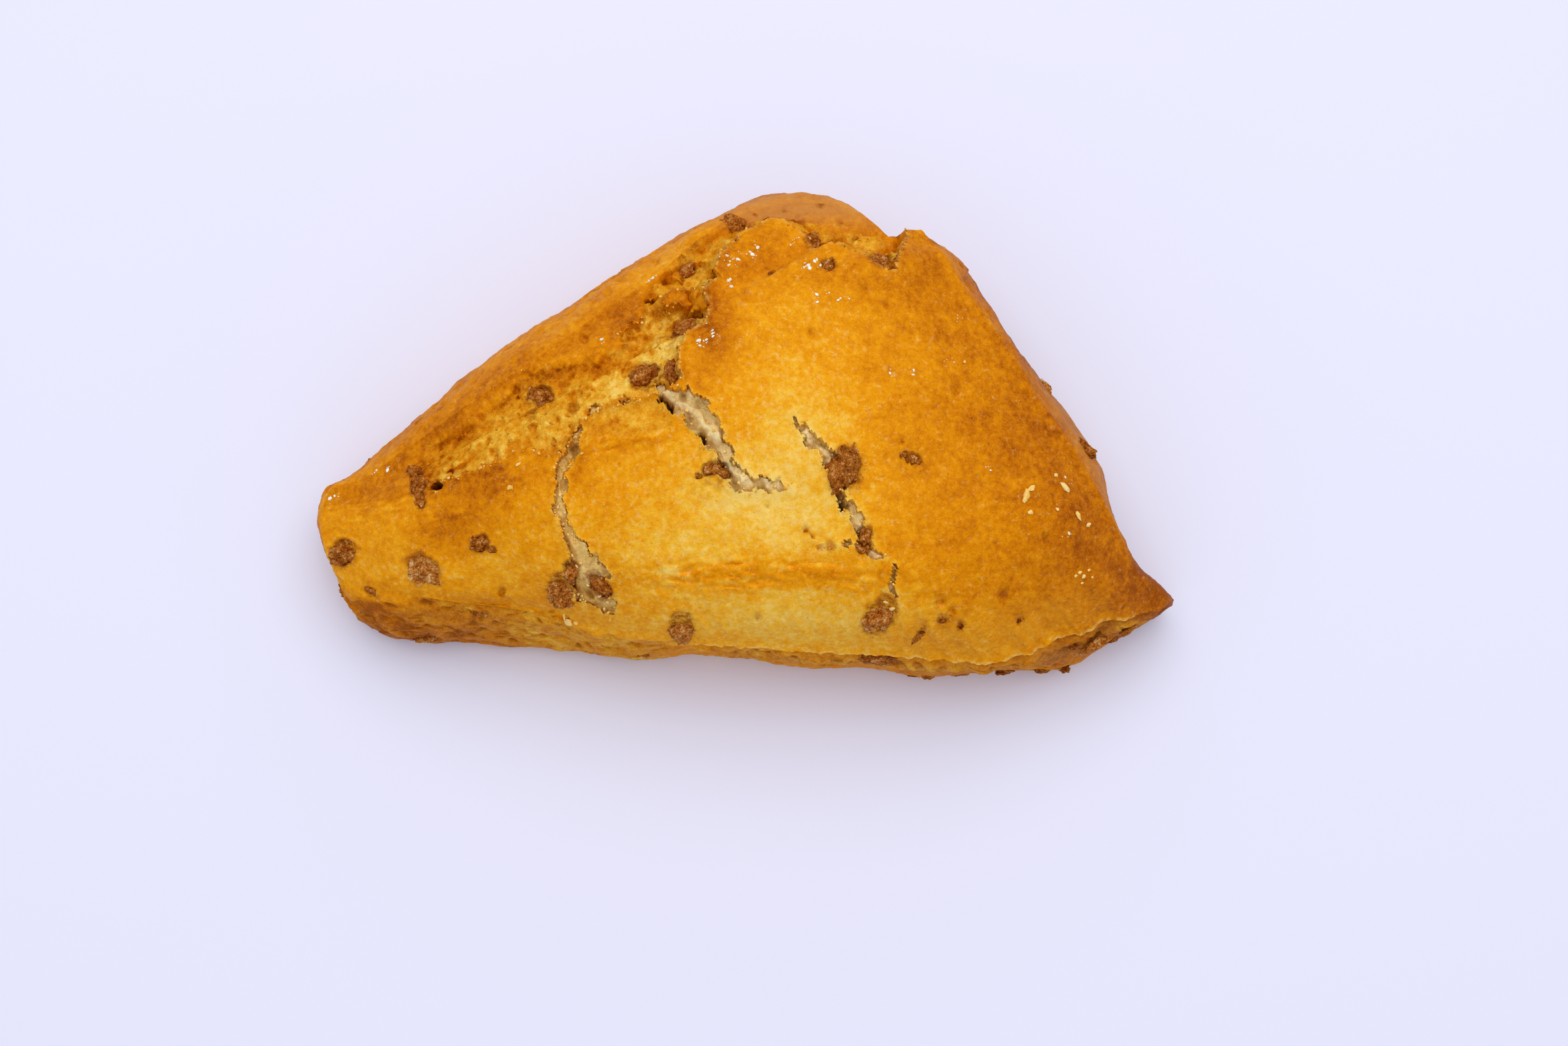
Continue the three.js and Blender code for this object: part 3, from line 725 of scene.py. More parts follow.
def bare_shares(points, torn, lobe):
    """How much the skin is gone, 0 to 1: in the torn patch, in the band behind the plateau, and how soft the
    patch's outer edge is. The patch ends sharply at the plates and by the flap, and fades elsewhere."""
    soft = np.exp(-((line_distance(TORN_PATCH, points) / 2.4) ** 2))
    x, y = points[..., 0], points[..., 1]
    soft *= 1 - np.exp(-(((x + 18.5) / 5) ** 2) - ((y - 11.5) / 6) ** 2)
    torn_share = smooth_step((torn + 0.6 * soft) / (0.5 + 2.4 * soft), 0.0, 1.0)
    far = lobe + 1.3 * noise(flat_copy(points), 5.0, 27) + 0.6 * noise(flat_copy(points), 1.7, 28)
    band = smooth_step(lobe, 0.0, STEP_WIDTH) * (1 - smooth_step(far, 1.6, 2.9))
    rows = np.minimum(across, 1 - across) * FADE_ROWS
    columns = np.minimum(along, 1 - along) * FADE_COLUMNS
    if points.shape[:2] != (len(along), len(across)):
        rows = np.interp(np.linspace(0, 1, points.shape[1]), across, rows)
        columns = np.interp(np.linspace(0, 1, points.shape[0]), np.linspace(0, 1, len(along)), columns)
    from_rim = np.minimum(columns[:, None], rows[None, :])
    torn_share *= smooth_step(from_rim, 0.3, 2.0)
    band *= smooth_step(np.hypot(x - 25, y - 28), 2.5, 5.0)
    return torn_share, band * (1 - torn_share) * smooth_step(from_rim, 1.5, 5.0), soft


def bare_crumb(points):
    """Crumb that lost its skin: soft swellings, fine roughness, shallow round dents, and the named hollows
    and knobs, where a hollow has a crisp browner rim on its upper side, which is a painted shadow. Returns
    the
    height, and how much browner it is: the oven's toasting and each hollow's tone, with painted shade that
    makes dents, pores and low places darker and the swellings paler."""
    wobble = points + 0.9 * np.stack([noise(points, 2.6, seed) for seed in (131, 132, 133)], -1)
    sheared = wobble + wobble[..., 2:] * (0.8, -0.6, 0)
    dent, _ = pebbles(sheared, 3.6, 135)
    small_dent, _ = pebbles(sheared + 20, 1.7, 137)
    some = smooth_step(noise(points, 6.0, 139), -0.35, 0.15)
    dents = some * (1 - smooth_step(dent, 0.08, 0.36)) + 0.45 * (1 - smooth_step(small_dent, 0.06, 0.3))
    pore = smooth_step(noise(points, 0.95, 149), 0.4, 0.75)
    swellings = 0.55 * noise(points, 5.5, 141) + 0.34 * noise(points, 2.3, 143)
    height = swellings + 0.4 * rough_noise(points, 1.3, 145)
    # Painted light and shade: darker in dents, pores and low places, paler on the swellings.
    browner = 0.06 + 0.22 * dents - 0.34 * height + 0.22 * pore
    height -= 0.6 * dents + 0.35 * pore
    uneven = 0.22 * noise(points, 1.5, 133)
    for x, y, reach_u, reach_v, turn, deep, tone in HOLLOWS:
        u, v = turned(points, x, y, turn)
        away = np.hypot(u / reach_u, v / reach_v) + uneven
        upper = smooth_step(v / reach_v, -0.4, 0.6)
        inside = 1 - smooth_step(away, 0.3 + (deep > 0) * (0.1 + 0.4 * upper), 1.08)
        height -= deep * inside
        # Painted shadow: a crisp darker rim on the hollow's upper side.
        crisp = np.exp(-(((away - 1.02) / 0.13) ** 2))
        browner += 0.7 * tone * inside + 0.2 * upper * np.clip(deep, 0, 1) * crisp
    return height, browner


def steepness(points):
    """How steep a grid of points is, 0 to 1: its rise over its run along both ways of the grid."""
    rise = [np.gradient(points[..., 2], axis=axis) for axis in (0, 1)]
    run = [np.hypot(*np.moveaxis(np.gradient(points[..., :2], axis=axis), -1, 0)) for axis in (0, 1)]
    return smooth_step(np.hypot(rise[0] / (run[0] + 0.05), rise[1] / (run[1] + 0.05)), 1.2, 3.0)


def crumbled(points, share):
    """The points moved sideways by noise that also changes with height: steep torn faces get less fluted."""
    moved = points.copy()
    for axis in (0, 1):
        sway = 0.6 * noise(points, 1.7, 151 + axis) + 0.35 * noise(points, 0.8, 155 + axis)
        moved[..., axis] += share * sway
    return moved


def skin_relief(points):
    """Blisters and grain of the skin: three noises, 7 mm, 2.4 mm and 0.9 mm across."""
    return 0.25 * noise(points, 7.0, 41) + 0.12 * noise(points, 2.4, 43) + 0.08 * noise(points, 0.9, 47)


border = np.zeros(top.shape[:2], bool)
border[[0, -1], :] = border[:, [0, -1]] = True
top = np.where(border[..., None], top, snapped(top))
torn, lobe, crack, crack_depth = tear_distances(top)
torn_share, band, soft_edge = bare_shares(top, torn, lobe)
bare_lumps, bare_toast_and_shade = bare_crumb(top)
torn_part, sunken_part = [round(float(np.mean(distance > 0)), 3) for distance in (torn, lobe)]
print("share of the top torn:", torn_part, "sunken:", sunken_part)

# %% [markdown]
# ## Walls
# Walls run down from the rim, over a shoulder, to the belly, and then tuck in under it to the foot. Along the
# front the crust's edge overhangs a little. They are stitched to every second point of the rim later on,
# because walls need less detail than the top.

# %% Walls before their relief
WALL_ROWS, FOOT_ROWS, UNDER_ROWS = 42, 10, 7
FOOT_TUCK, LIP_CREASE = 0.34, 2.3
FOOT_HUB = np.array([0.0, -8.0, 0.0])


def around(grid):
    """The border of a grid, once round, from the front left corner along the front."""
    return np.concatenate([grid[:-1, 0], grid[-1, :-1], grid[:0:-1, -1], grid[0, :0:-1]])


def wall_surface(rim, belly, lip):
    """Rows from rim to foot: a cubic curve over the shoulder to the belly, then a quarter ellipse in under
    it. Under a lip, and in the notch beside the plateau's back corner, the curve first turns inwards."""
    run = belly - rim
    sideways = 0.5 - 0.8 * lip - 0.5 * np.exp(-(((rim[:, 0] - 23) / 4) ** 2) - ((rim[:, 1] - 29.5) / 4) ** 2)
    shoulder = rim + run * np.stack([sideways, sideways, 0.12 + 0 * lip], 1)
    flank = belly - run * (0, 0, 0.45)
    t = (np.arange(1, WALL_ROWS + 1) / WALL_ROWS)[:, None, None]
    upper = (1 - t) ** 3 * rim + 3 * t * (1 - t) ** 2 * shoulder
    wall = upper + 3 * t ** 2 * (1 - t) * flank + t ** 3 * belly
    ahead, behind = np.roll(belly, -1, axis=0), np.roll(belly, 1, axis=0)
    outward = np.stack([ahead[:, 1] - behind[:, 1], behind[:, 0] - ahead[:, 0], 0 * ahead[:, 0]], 1)
    outward /= np.linalg.norm(outward, axis=1, keepdims=True)
    turn = (np.arange(1, FOOT_ROWS + 1) / FOOT_ROWS * math.pi / 2)[:, None]
    foot = belly - (FOOT_TUCK * belly[:, 2] * (1 - np.cos(turn)))[..., None] * outward
    foot[..., 2] = belly[:, 2] * (1 - np.sin(turn))
    return np.concatenate([wall, foot]), outward, t[..., 0]


def around_length(ring):
    """Length along a closed ring of points, in plan, from its first point."""
    return np.r_[0, np.cumsum(np.linalg.norm(np.diff(ring[:, :2], axis=0), axis=1))]


def lip_strength(rim):
    """How deep the crease under the crust's front lip is, 0 to 1, with a weaker stretch at the blunt end."""
    x, front = rim[:, 0], rim[:, 1] < -26
    right_half = smooth_step(x, -14, -4) * smooth_step(-x, -66, -60)
    return front * (right_half + 0.5 * np.exp(-(((x + 41) / 11) ** 4)))


relief = broad_relief(top, torn_share, lobe)
rim = around(top)[::2]
rim_broad = rim.copy()
rim_broad[:, 2] += around(relief)[::2]
top_level = top[..., 2] + relief
under_lip = lip_strength(rim)
walls, outward, wall_share = wall_surface(rim_broad, belly[::2], under_lip)
print("walls:", walls.shape[:2], "points")

# %% [markdown]
# ## Where the chips sit
# Cinnamon chips are hard lumps of sugar, fat and cinnamon. The dough shrinks back from them as it bakes, and
# they melt a little and stain it. So the chips are placed first, and the crust is lowered and browned round
# them.

# %% Chips
CHIPS = np.array([  # x, y, z, length, width, turn in degrees, how far it stands out, and how tan it is
    (-65.4, -21.7, 18.2, 4.9, 4.4, 20, 0.3, 0.3), (-51.3, -24.9, 25.3, 5.6, 3.9, -30, 0.45, 1),
    (-41.8, -21.6, 31, 2.8, 2.5, 30, 0, 0.1), (-40.1, -22.6, 31, 1.3, 1, 0, -0.1, 0.1),
    (-60.5, -28.1, 17.8, 2.6, 1.6, -20, 0.1, 0.2), (-43.4, -32.4, 19.8, 2.5, 1.9, 10, 0.1, 0.4),
    (-53.1, -9.9, 27, 3.2, 2.3, -50, -0.3, 0.0), (-52.4, -12.1, 28, 3.8, 2.7, -75, -0.1, 0.1),
    (-51.7, -14.5, 28, 3, 2, 100, -0.3, 0.0), (-32.5, 1.4, 34.8, 3.8, 3.1, -35, 0.4, 0.2),
    (-16.3, 3.6, 41.2, 4.9, 4.3, 10, 0.4, 0.1), (-11.8, 3.2, 42, 3.9, 2.0, -75, 0.3, 0),
    (-9.9, 11.5, 40, 4.8, 2.3, 35, 1.0, 0.3), (-6, -11.6, 42.1, 3.1, 2.2, 20, -0.05, 0.6),
    (-4, -12.3, 42, 1.7, 1.4, -20, 0, 0.3), (-8, -12.6, 42, 1.3, 0.7, 10, -0.05, 0.3),
    (14.5, -11.5, 41.6, 6.5, 5, 80, 0.4, 0.25), (17.6, -21.3, 39.3, 3, 1.9, 60, 0.2, 0.1),
    (17.3, -23, 39, 2.4, 1.9, 20, 0.1, 0.1), (24.9, -9.6, 40.1, 2.6, 1.6, -15, 0, 0.3),
    (23.3, -8.9, 40.3, 1.1, 0.8, 30, -0.05, 0.2), (-29.4, -28.4, 30.3, 4.9, 4.2, 30, 0.45, 0.3),
    (-27.8, -26.2, 32.8, 3.2, 2.4, 80, 0.2, 0.1), (-23.1, -28.3, 32.2, 4.6, 2.6, -45, 0.1, 0),
    (-10.7, -34.3, 27.1, 4.2, 3.7, 60, 0.15, 0.6), (20.3, -32.9, 32.2, 6, 4.2, 50, 0.45, 0.9),
    (26.8, -35.4, 28.4, 2.4, 1.0, 55, -0.5, 0.2), (30.3, -33.3, 31.6, 2.2, 1.2, 15, -0.45, 0.5),
    (33, -34.2, 30.5, 1.5, 1.3, 80, -0.45, -0.3), (56.6, -36.2, 16, 5.6, 1.8, 20, 1.9, 0.6),
    # The darkest chip, at 53.1, -36, is painted shade: a dark lump where a hole at the long chip's left end
    # lies in shade.
    (61.8, -34.2, 14.5, 3.2, 1.4, 22, 1.5, 0.7), (53.1, -36, 17, 1.9, 1.5, 20, 1.2, -0.7),
    (43, -39.8, 7, 2.8, 1.9, 0, 0.9, -0.2), (48.7, -39.5, 7, 2.2, 1.4, 0, 0.8, -0.2),
    (52.8, -39, 7, 2, 1.3, 0, 0.7, -0.1), (61.3, -35.2, 9, 1.8, 1.2, 30, 0.3, -0.1),
    (53.4, -5.2, 25.3, 3.4, 2.3, -60, 0.6, 0.1), (43.5, 14.1, 12.6, 2.4, 1.5, -60, 0.3, 0.2),
    (20.4, 22.8, 36.7, 4.5, 3.2, -10, 0.35, 0.3), (12.2, 21.4, 38.3, 2.7, 2.3, 0, 0.1, 0.1),
    (9.8, 27, 33.2, 3.2, 2.5, 30, 0.3, 0.3), (-2.1, 31.4, 26.8, 4.1, 2.6, -20, 0.2, 0.3),
    (-10.3, 23.2, 30.8, 2.9, 1.6, 25, -0.15, 0.7), (20.8, -39.3, 19, 4.4, 2.4, 0, 1.1, 0.5),
    (3.4, 20.6, 38, 1.5, 1.3, 0, 0, 0.2), (14.5, -39, 18, 2.2, 1.6, 0, 0, 0.1),
    (27.2, -40.3, 7.5, 1.9, 1.4, 0, 0.4, -0.5), (29.8, -40.5, 7.5, 3, 1.5, 0, 0.5, 0.7),
    (42.7, -33, 25, 1.4, 1.1, 20, -0.5, -0.3), (-53.4, -34.6, 8, 4.2, 1.9, 0, 0.1, 0.5),
    (-17.7, -37, 12, 2.2, 1.7, 0, 0.1, 0.3), (-1, -37.6, 14, 3.4, 2.3, 20, 0.1, 0.4),
    (-36, 15, 9, 4, 2.8, 0, 0.1, 0.5), (-22, 24, 13, 3.1, 2.2, 0, 0.1, 0.3),
    (-54, 2, 7, 3, 2.2, 20, 0.1, 0.5), (-9, 33.5, 14, 3.4, 2.4, 0, -0.3, 0.6),
    (6, 38.6, 9, 3, 2, 0, 0.1, 0.3), (36, 23, 24, 2.5, 1.8, 0, 0.1, 0.3), (49, 7, 20, 3.8, 2.2, 60, 0.1, 0.5),
    (60.5, -16, 8, 3, 2, 0, 0.1, 0.4), (-70, -16, 8, 3.4, 2.4, 60, -0.3, 0.4),
    (40, 18.5, 7, 3.2, 2, 0, 0.1, 0.6), (36, -40.5, 6, 3, 1.8, 0, 0.1, 0.5),
    (-66.5, -27, 9, 2.6, 1.8, 0, 0.1, 0.3), (-62, -7, 12, 2.2, 1.6, 0, 0, 0.3),
])
SOCKET_DEPTH = 0.9
chip_length, chip_width, chip_turn, chip_out, chip_tan = CHIPS[:, 3:].T


def seated(chips):
    """Each chip's place on the dough, and whether it is on the top: straight above or below it on the top's
    level surface, or else at the nearest point of the walls."""
    top_points = np.dstack([top[..., :2], top_level]).reshape(-1, 3)
    wall_points = walls.reshape(-1, 3)
    spots = chips[:, :3].copy()
    on_top = np.zeros(len(chips), bool)
    outwards = np.tile((0.0, 0.0, 1.0), (len(chips), 1))
    for k, spot in enumerate(chips[:, :3]):
        to_top = np.sum((top_points - spot) ** 2, -1)
        to_wall = np.sum((wall_points - spot) ** 2, -1)
        on_top[k] = to_top.min() < to_wall.min()
        if on_top[k]:
            spots[k, 2] = top_points[np.argmin(np.sum((top_points[:, :2] - spot[:2]) ** 2, -1)), 2]
        else:
            nearest = np.argmin(to_wall)
            spots[k] = wall_points[nearest]
            outwards[k] = outward[nearest % len(outward)]
    return spots, on_top, outwards


chip_spots, chip_on_top, chip_outwards = seated(CHIPS)


def chip_nearness(points):
    """How near each point is to a chip: the distance to the nearest one over its radius, so 1 is at its edge.
    On the top the radius is that of the chip's own ellipse in plan, and on the walls it is the mean one."""
    least = np.full(points.shape[:-1], 9.0)
    for (x, y, z), on_top, (length, width, turn) in zip(chip_spots, chip_on_top, CHIPS[:, 3:6]):
        u, v = turned(points, x, y, turn)
        dz = points[..., 2] - z
        if on_top:
            away = np.sqrt((2 * u / length) ** 2 + (2 * v / width) ** 2 + (dz / (2 * length)) ** 2)
        else:
            away = np.sqrt(u ** 2 + v ** 2 + dz ** 2) / ((length + width) / 4)
        least = np.minimum(least, away)
    return least + 0.2 * noise(points, 2.2, 64) + 0.16 * noise(points, 1.1, 65)


def socket(nearness):
    """The dip round a chip: full depth under it, then a low raised edge of crust at 1.15 times its radius."""
    raised_edge = 0.15 * np.exp(-(((nearness - 1.15) / 0.14) ** 2))
    return SOCKET_DEPTH * (1 - smooth_step(nearness, 0.76, 1.0)) - raised_edge


print("chips:", len(CHIPS))

# %% [markdown]
# ## The crust as one closed surface
# The top is the patch with its relief. In each crack it falls well below the crumb, which is a piece of its
# own. The walls get pits and swellings, the crease and the torn layer under the front lip, and slits at the
# waist, where rising dough has split the skin. Rings that shrink to a point close the flat underside.

# %% Finished top
CRACK_FALL = 2.2  # how far below the crumb the crust's own surface goes inside a crack


def wrinkle_noise(u, v, seed):
    """Long ridges: noise stretched along u and folded at zero, so that it has creases."""
    return 1 - 2 * np.abs(rough_noise(np.stack([u / 5, v / 1.3, 0 * u + seed], -1), 1.0, 63, octaves=2))


def finished_top(points, crack, depth):
    """The patch plus broad relief, skin, creases, dimples and sockets; cracks and bare crumb sink further."""
    out = points.copy()
    out[..., 2] += broad_relief(points, torn_share, lobe)
    skin = skin_relief(out)
    for line, width, deep in CREASES.values():
        away = line_distance(line, points) + 0.8 * rough_noise(flat_copy(points), 3.0, 61, gain=0.7)
        fade = smooth_step(noise(flat_copy(points), 7.0, 62), -0.3, 0.3)
        skin -= deep * fade * np.exp(-((away / width) ** 2))
    for x, y, reach_u, reach_v, turn, high in WRINKLES.values():
        u, v = turned(points, x, y, turn)
        ridge = wrinkle_noise(u, v, x)
        skin += high * ridge * np.exp(-((u / reach_u) ** 4) - (v / reach_v) ** 2)
    for x, y, radius, deep in DIMPLES:
        away = np.hypot(points[..., 0] - x, points[..., 1] - y) + 0.3 * noise(flat_copy(points), 1.1, 67)
        skin -= deep * (1 - smooth_step(away, 0.5 * radius, 1.2 * radius))
    skin += 0.3 * np.exp(-((np.maximum(crack, 0) / 0.8) ** 2))
    skin += 0.35 * (1 - soft_edge) * np.exp(-((np.maximum(-torn, 0) / 1.1) ** 2))
    skin -= socket(chip_nearness(out))
    skin -= (depth + CRACK_FALL) * smooth_step(-crack, 0.0, 0.32)
    deeper_where_steep = 1 + 1.6 * steepness(out) * smooth_step(lobe, 0.3, 0.9)
    skin += (bare_lumps - 0.4) * torn_share - BARE_SINK * band * deeper_where_steep
    out[..., 2] += skin
    return out


top_done = finished_top(top, crack, crack_depth)
behind_edge = smooth_step(lobe, 0.05, 0.4) * smooth_step(crack, 0.3, 1.0)
behind_edge[border] = 0
top_done = crumbled(top_done, behind_edge * steepness(top_done))
print("highest point of the top, mm:", round(float(top_done[..., 2].max()), 2))

# %% Walls and underside
rows_down = np.concatenate([wall_share, np.ones((FOOT_ROWS, 1))])
along_rim = np.stack([rim[:, 0], rim[:, 1], 0 * rim[:, 0]], 1)
crease_at = np.where(rim[:, 0] < -20, 0.12, 0.17) + 0.04 * rough_noise(along_rim, 5.0, 71)
lip = under_lip * np.exp(-(((wall_share - crease_at) / 0.085) ** 2))
lower_layer = under_lip * np.exp(-(((wall_share - crease_at - 0.32) / 0.17) ** 2))
waist_at = 0.66 + 0.22 * noise(along_rim, 16.0, 73)
from_waist = np.abs(wall_share - waist_at) / 0.075 + 0.6 * rough_noise(walls[:WALL_ROWS], 3.0, 75)
waist = (1 - under_lip) * (1 - smooth_step(from_waist, 0.45, 0.95))
waist *= smooth_step(noise(walls[:WALL_ROWS], 12.0, 79), 0.0, 0.25)
inward = np.zeros(walls.shape[:2])
uneven = np.clip(rough_noise(walls[:WALL_ROWS], 4.0, 77, octaves=4, gain=0.6), -0.8, 0.8)
inward[:WALL_ROWS] = LIP_CREASE * lip - 0.8 * lower_layer * (1 + 0.9 * uneven) + waist
wall_x, wall_y, wall_z = np.moveaxis(walls, -1, 0)
blunt_slope = smooth_step(-wall_y, 28, 31) * smooth_step(-wall_x, 8, 20) * smooth_step(rows_down, 0.05, 0.2)
wall_skin = 1.9 * skin_relief(walls) + 0.45 * noise(walls, 13.0, 83)
unrolled = np.stack([around_length(rim)[None] + 0 * wall_x, wall_z, 0 * wall_x], -1)
pit, _ = pebbles(unrolled, 4.5, 85)
wall_skin -= 0.7 * (1 - smooth_step(pit + 0.15 * noise(walls, 1.5, 87), 0.06, 0.22))
wall_skin[:WALL_ROWS] += 0.35 * waist * rough_noise(walls[:WALL_ROWS], 1.6, 91)
foot_blank = np.zeros((FOOT_ROWS, len(rim)))
waist_all = np.vstack([waist, foot_blank])
torn_wall = np.maximum.reduce([blunt_slope, np.vstack([lower_layer, foot_blank]), 0.8 * waist_all])
small_pit = smooth_step(rough_noise(walls, 1.8, 93), 0.3, 0.8)
wall_skin -= torn_wall * (0.9 * small_pit + 0.25 * noise(walls, 3.0, 95))
wall_skin -= socket(chip_nearness(walls))
fade_in = smooth_step(rows_down, 0.0, 0.12)
rim_lift = (around(top_done)[::2, 2] - rim_broad[:, 2]) * (1 - smooth_step(rows_down, 0.0, 0.2))
low_enough = smooth_step(walls[..., 2], 0.0, 3.0)
walls += outward * ((wall_skin * fade_in - inward) * low_enough)[..., None]
walls[..., 2] += rim_lift
shrink = (np.arange(1, UNDER_ROWS + 1) / (UNDER_ROWS + 1))[:, None, None]
underside = walls[-1] + (FOOT_HUB - walls[-1]) * shrink
underside[..., 2] = 0.3 * np.maximum(0, noise(underside, 4.0, 89)) * smooth_step(shrink[..., 0], 0.0, 0.25)
print("wall grid:", walls.shape[:2])

# %% [markdown]
# ## How brown the crust is
# An oven browns what stands out and what lies near the edge of the tray. So a number from 0, pale, to 1, dark
# brown, is worked out for each vertex: a base for the top and the walls, plus soft patches that are named for
# where they lie. In the crease under the front lip the number also carries painted shade. The material turns
# that number into colour with one ramp, and adds the fine mottling.

# %% Browning, stains and painted shade
TOP_BROWN, WALL_BROWN, FOOT_BROWN = 0.44, 0.66, 0.76
BROWN_PATCHES = {  # x, y, reach along x, reach along y, turn in degrees, and how much browner
    "pale middle": (2, -17, 13, 9, -8, -0.34),
    "pale tongue up the plateau": (9, -4, 7, 8, 0, -0.16),
    "pale foot of the middle": (6, -32.5, 17, 3.4, 0, -0.2),
    "pale left of the middle": (-13, -24, 8, 4, 0, -0.16),
    "right side": (50, 0, 25, 36, 20, 0.34),
    "right shoulder": (52, -12, 8, 20, 32, 0.08),
    "front right": (44, -26, 13, 5, 0, 0.1),
    "below the right shoulder": (52, -20, 7, 6, 0, 0.12),
    "back right": (29, 18, 7, 7, 0, 0.08),
    "above the blunt end": (-49, -2, 8, 4, 33, 0.16),
    "middle of the left plate": (-46, -20, 7, 4, 0, 0.14),
    "blunt corner": (-61, -29, 6, 4, 0, 0.08),
    "front wall": (8, -35, 18, 3, 0, -0.1),
    "sharp end": (66, -27, 8, 6, 0, 0.38),
    "back of the plateau": (14, 22, 17, 6, -15, 0.16),
    "left edge of the plateau": (-6, 10, 4, 11, -15, 0.32),
    "front crease": (9, -26.4, 13, 1.9, 0, 0.1),
    "back left of the plateau": (0, 24, 7, 6, 0, 0.16),
    "plateau's back corner": (27, 25, 4, 5, 0, 0.16),
    "left plate": (-39, -13, 10, 3.6, 8, 0.3),
    "middle plate's back edge": (-20, -3.4, 7, 1.6, 8, 0.16),
    "left plate's corner": (-42, -12, 5, 3, 0, 0.12),
    "below the left plate": (-46, -19, 9, 4, 8, 0.16),
    "middle plate's left": (-22, -13, 6, 6, 0, 0.08),
    "blunt end": (-62, -12, 9, 5, 20, 0.16),
    "upper blunt slope": (-54, -5, 8, 4, 35, 0.1),
    "above the torn patch": (-37, 7, 15, 3, 33, 0.26),
    "back left shoulder": (-21, 15, 6, 4, 40, 0.26),
    "middle of the right": (30, -12, 12, 16, 20, 0.06),
    "back lobe": (4, 35, 15, 5, 0, 0.18),
    "right wall": (57, -3, 5, 12, 20, -0.16),
    "blunt wall": (-58, -33, 13, 4, 0, 0.2),
    "flap": (-10.4, 16.8, 4, 2.4, 10, 0.16),
    "plateau by the sugar": (-5, 9, 3, 4, 0, 0.12),
    "blunt front slope": (-42, -32, 12, 3, 0, 0.16),
}
BARE_SPOTS = {  # x, y, reach along x, reach along y, and how much darker the crumb is there
    "pale middle": (-36, -4.5, 6, 2, -0.1),
    "amber slope": (-42, -3, 6, 1.8, 0.12),
    "amber by the chip": (-31, 4.6, 5, 2, 0.2),
    # Painted shadow: the crumb is darker along the big hollow's upper rim.
    "brown above the big hollow": (-20.5, 6, 2.4, 1.0, 0.25),
    "left end": (-52, -11, 2.5, 3, 0.3),
    "pale beside the flap": (-16, 14.5, 2.4, 2.6, -0.26),
    "pale below the flap": (-14.5, 8.5, 4, 4, -0.16),
    # The next three are partly the crumb's own brown and partly painted shade: the front-left corner and
    # slope, which face away from the light, and the crumb under the right lip.
    "blunt corner": (-61, -31.5, 7, 6, 0.42),
    "left of the blunt slope": (-47, -34.5, 9, 4, 0.3),
    "under the right lip": (52, -38, 13, 5, 0.3),
}
BARE_BLOTS = [  # x, y, reach along, reach across and turn of spots on the lobe where crumb shows through
    (17.4, 27.6, 4.4, 2.0, -12), (10.6, 29.6, 2.6, 1.4, -30), (-7.6, 26.2, 4.4, 2.6, 40),
    (-11, 22.6, 3, 2, 40),
]
# Most spots below are cinnamon stains; two are painted shade, marked further down.
STAINS_AND_SHADE = np.array([  # x, y, radius and strength of cinnamon stains away from the chips
    (-13.6, 13.8, 1.6, 0.4), (-14, 9.8, 2.4, 0.5), (14.8, 27.2, 1.4, 0.6), (2.4, 19.7, 1, 0.5),
    (-3.8, 26, 1.6, 0.5), (-9.8, 23.4, 1.8, 0.7), (-50, -11.5, 3, 0.6), (-5.7, -12.1, 2.7, 0.9),
    (-23.8, -28.2, 3.4, 1), (17.8, -21.8, 2, 0.6), (20.2, -30, 1.2, 0.5), (-38.5, 1.5, 1.6, 0.45),
    # The spots at 52.9, -35.6 and 53.3, -34.6 are painted shade in that same hole by the long chip.
    (27.5, -34.6, 1.6, 0.6), (31.5, -33.4, 2, 0.4), (56, -34, 4.5, 0.5), (52.9, -35.6, 1.1, 1),
    (53.3, -34.6, 0.8, 0.9), (-53.6, -23.7, 1.3, 0.7), (24.6, -7.6, 1.3, 0.4), (24.4, -9.4, 2.2, 0.6),
    (-35.4, 3, 1.8, 0.6), (-47.1, -2.3, 1.1, 0.5), (-37.7, -1.9, 0.7, 0.5), (-30, -7.6, 1.2, 0.5),
    (-9.8, 27.2, 1.6, 0.5), (-12.2, -1.4, 1.3, 0.9), (-9.2, -3.4, 0.9, 0.7), (-5.2, -7.6, 1, 0.7),
    (-2.4, -11.4, 1, 0.6), (9.4, -7.2, 0.8, 0.6), (-6.4, 27.8, 1, 0.4), (11.4, 34.6, 1, 0.4),
    (16.6, 28.9, 1, 0.4), (61.9, -29, 2, 0.35), (42.6, -32.4, 1.4, 0.45), (26.6, -35.4, 1.2, 0.5),
    (9.2, -21.2, 1.6, 0.35), (12.2, -23, 1, 0.5), (-28, -7.8, 1.6, 0.45), (-27.5, -24.5, 1.5, 0.5),
])


def stain_and_shade_spots(points, stain_and_shade):
    """The greater of the value so far and each spot's: its strength, fading outwards, broken up by noise.
    Each dimple is darkened too, as painted shade in it.
    """
    broken = smooth_step(noise(points, 1.3, 151), -0.35, 0.3)
    for x, y, radius, strength in STAINS_AND_SHADE:
        away = np.hypot(points[..., 0] - x, points[..., 1] - y) / radius
        stain_and_shade = np.maximum(stain_and_shade, strength * broken * np.exp(-(away ** 2)))
    # Painted shade: each dimple is darkened with the same dark colour.
    for x, y, radius, _ in DIMPLES:
        away = np.hypot(points[..., 0] - x, points[..., 1] - y) / radius
        stain_and_shade = np.maximum(stain_and_shade, 0.6 * np.exp(-(away ** 2)))
    return stain_and_shade


def browning(points):
    """The base plus each patch times e to the power of minus its squared elliptical distance in plan."""
    total = np.full(points.shape[:-1], TOP_BROWN)
    for x, y, reach_x, reach_y, turn, amount in BROWN_PATCHES.values():
        u, v = turned(points, x, y, turn)
        total += amount * np.exp(-((u / reach_x) ** 2) - (v / reach_y) ** 2)
    return total + 0.04 * rough_noise(points, 9.0, 101) + 0.05 * rough_noise(points, 3.0, 103)


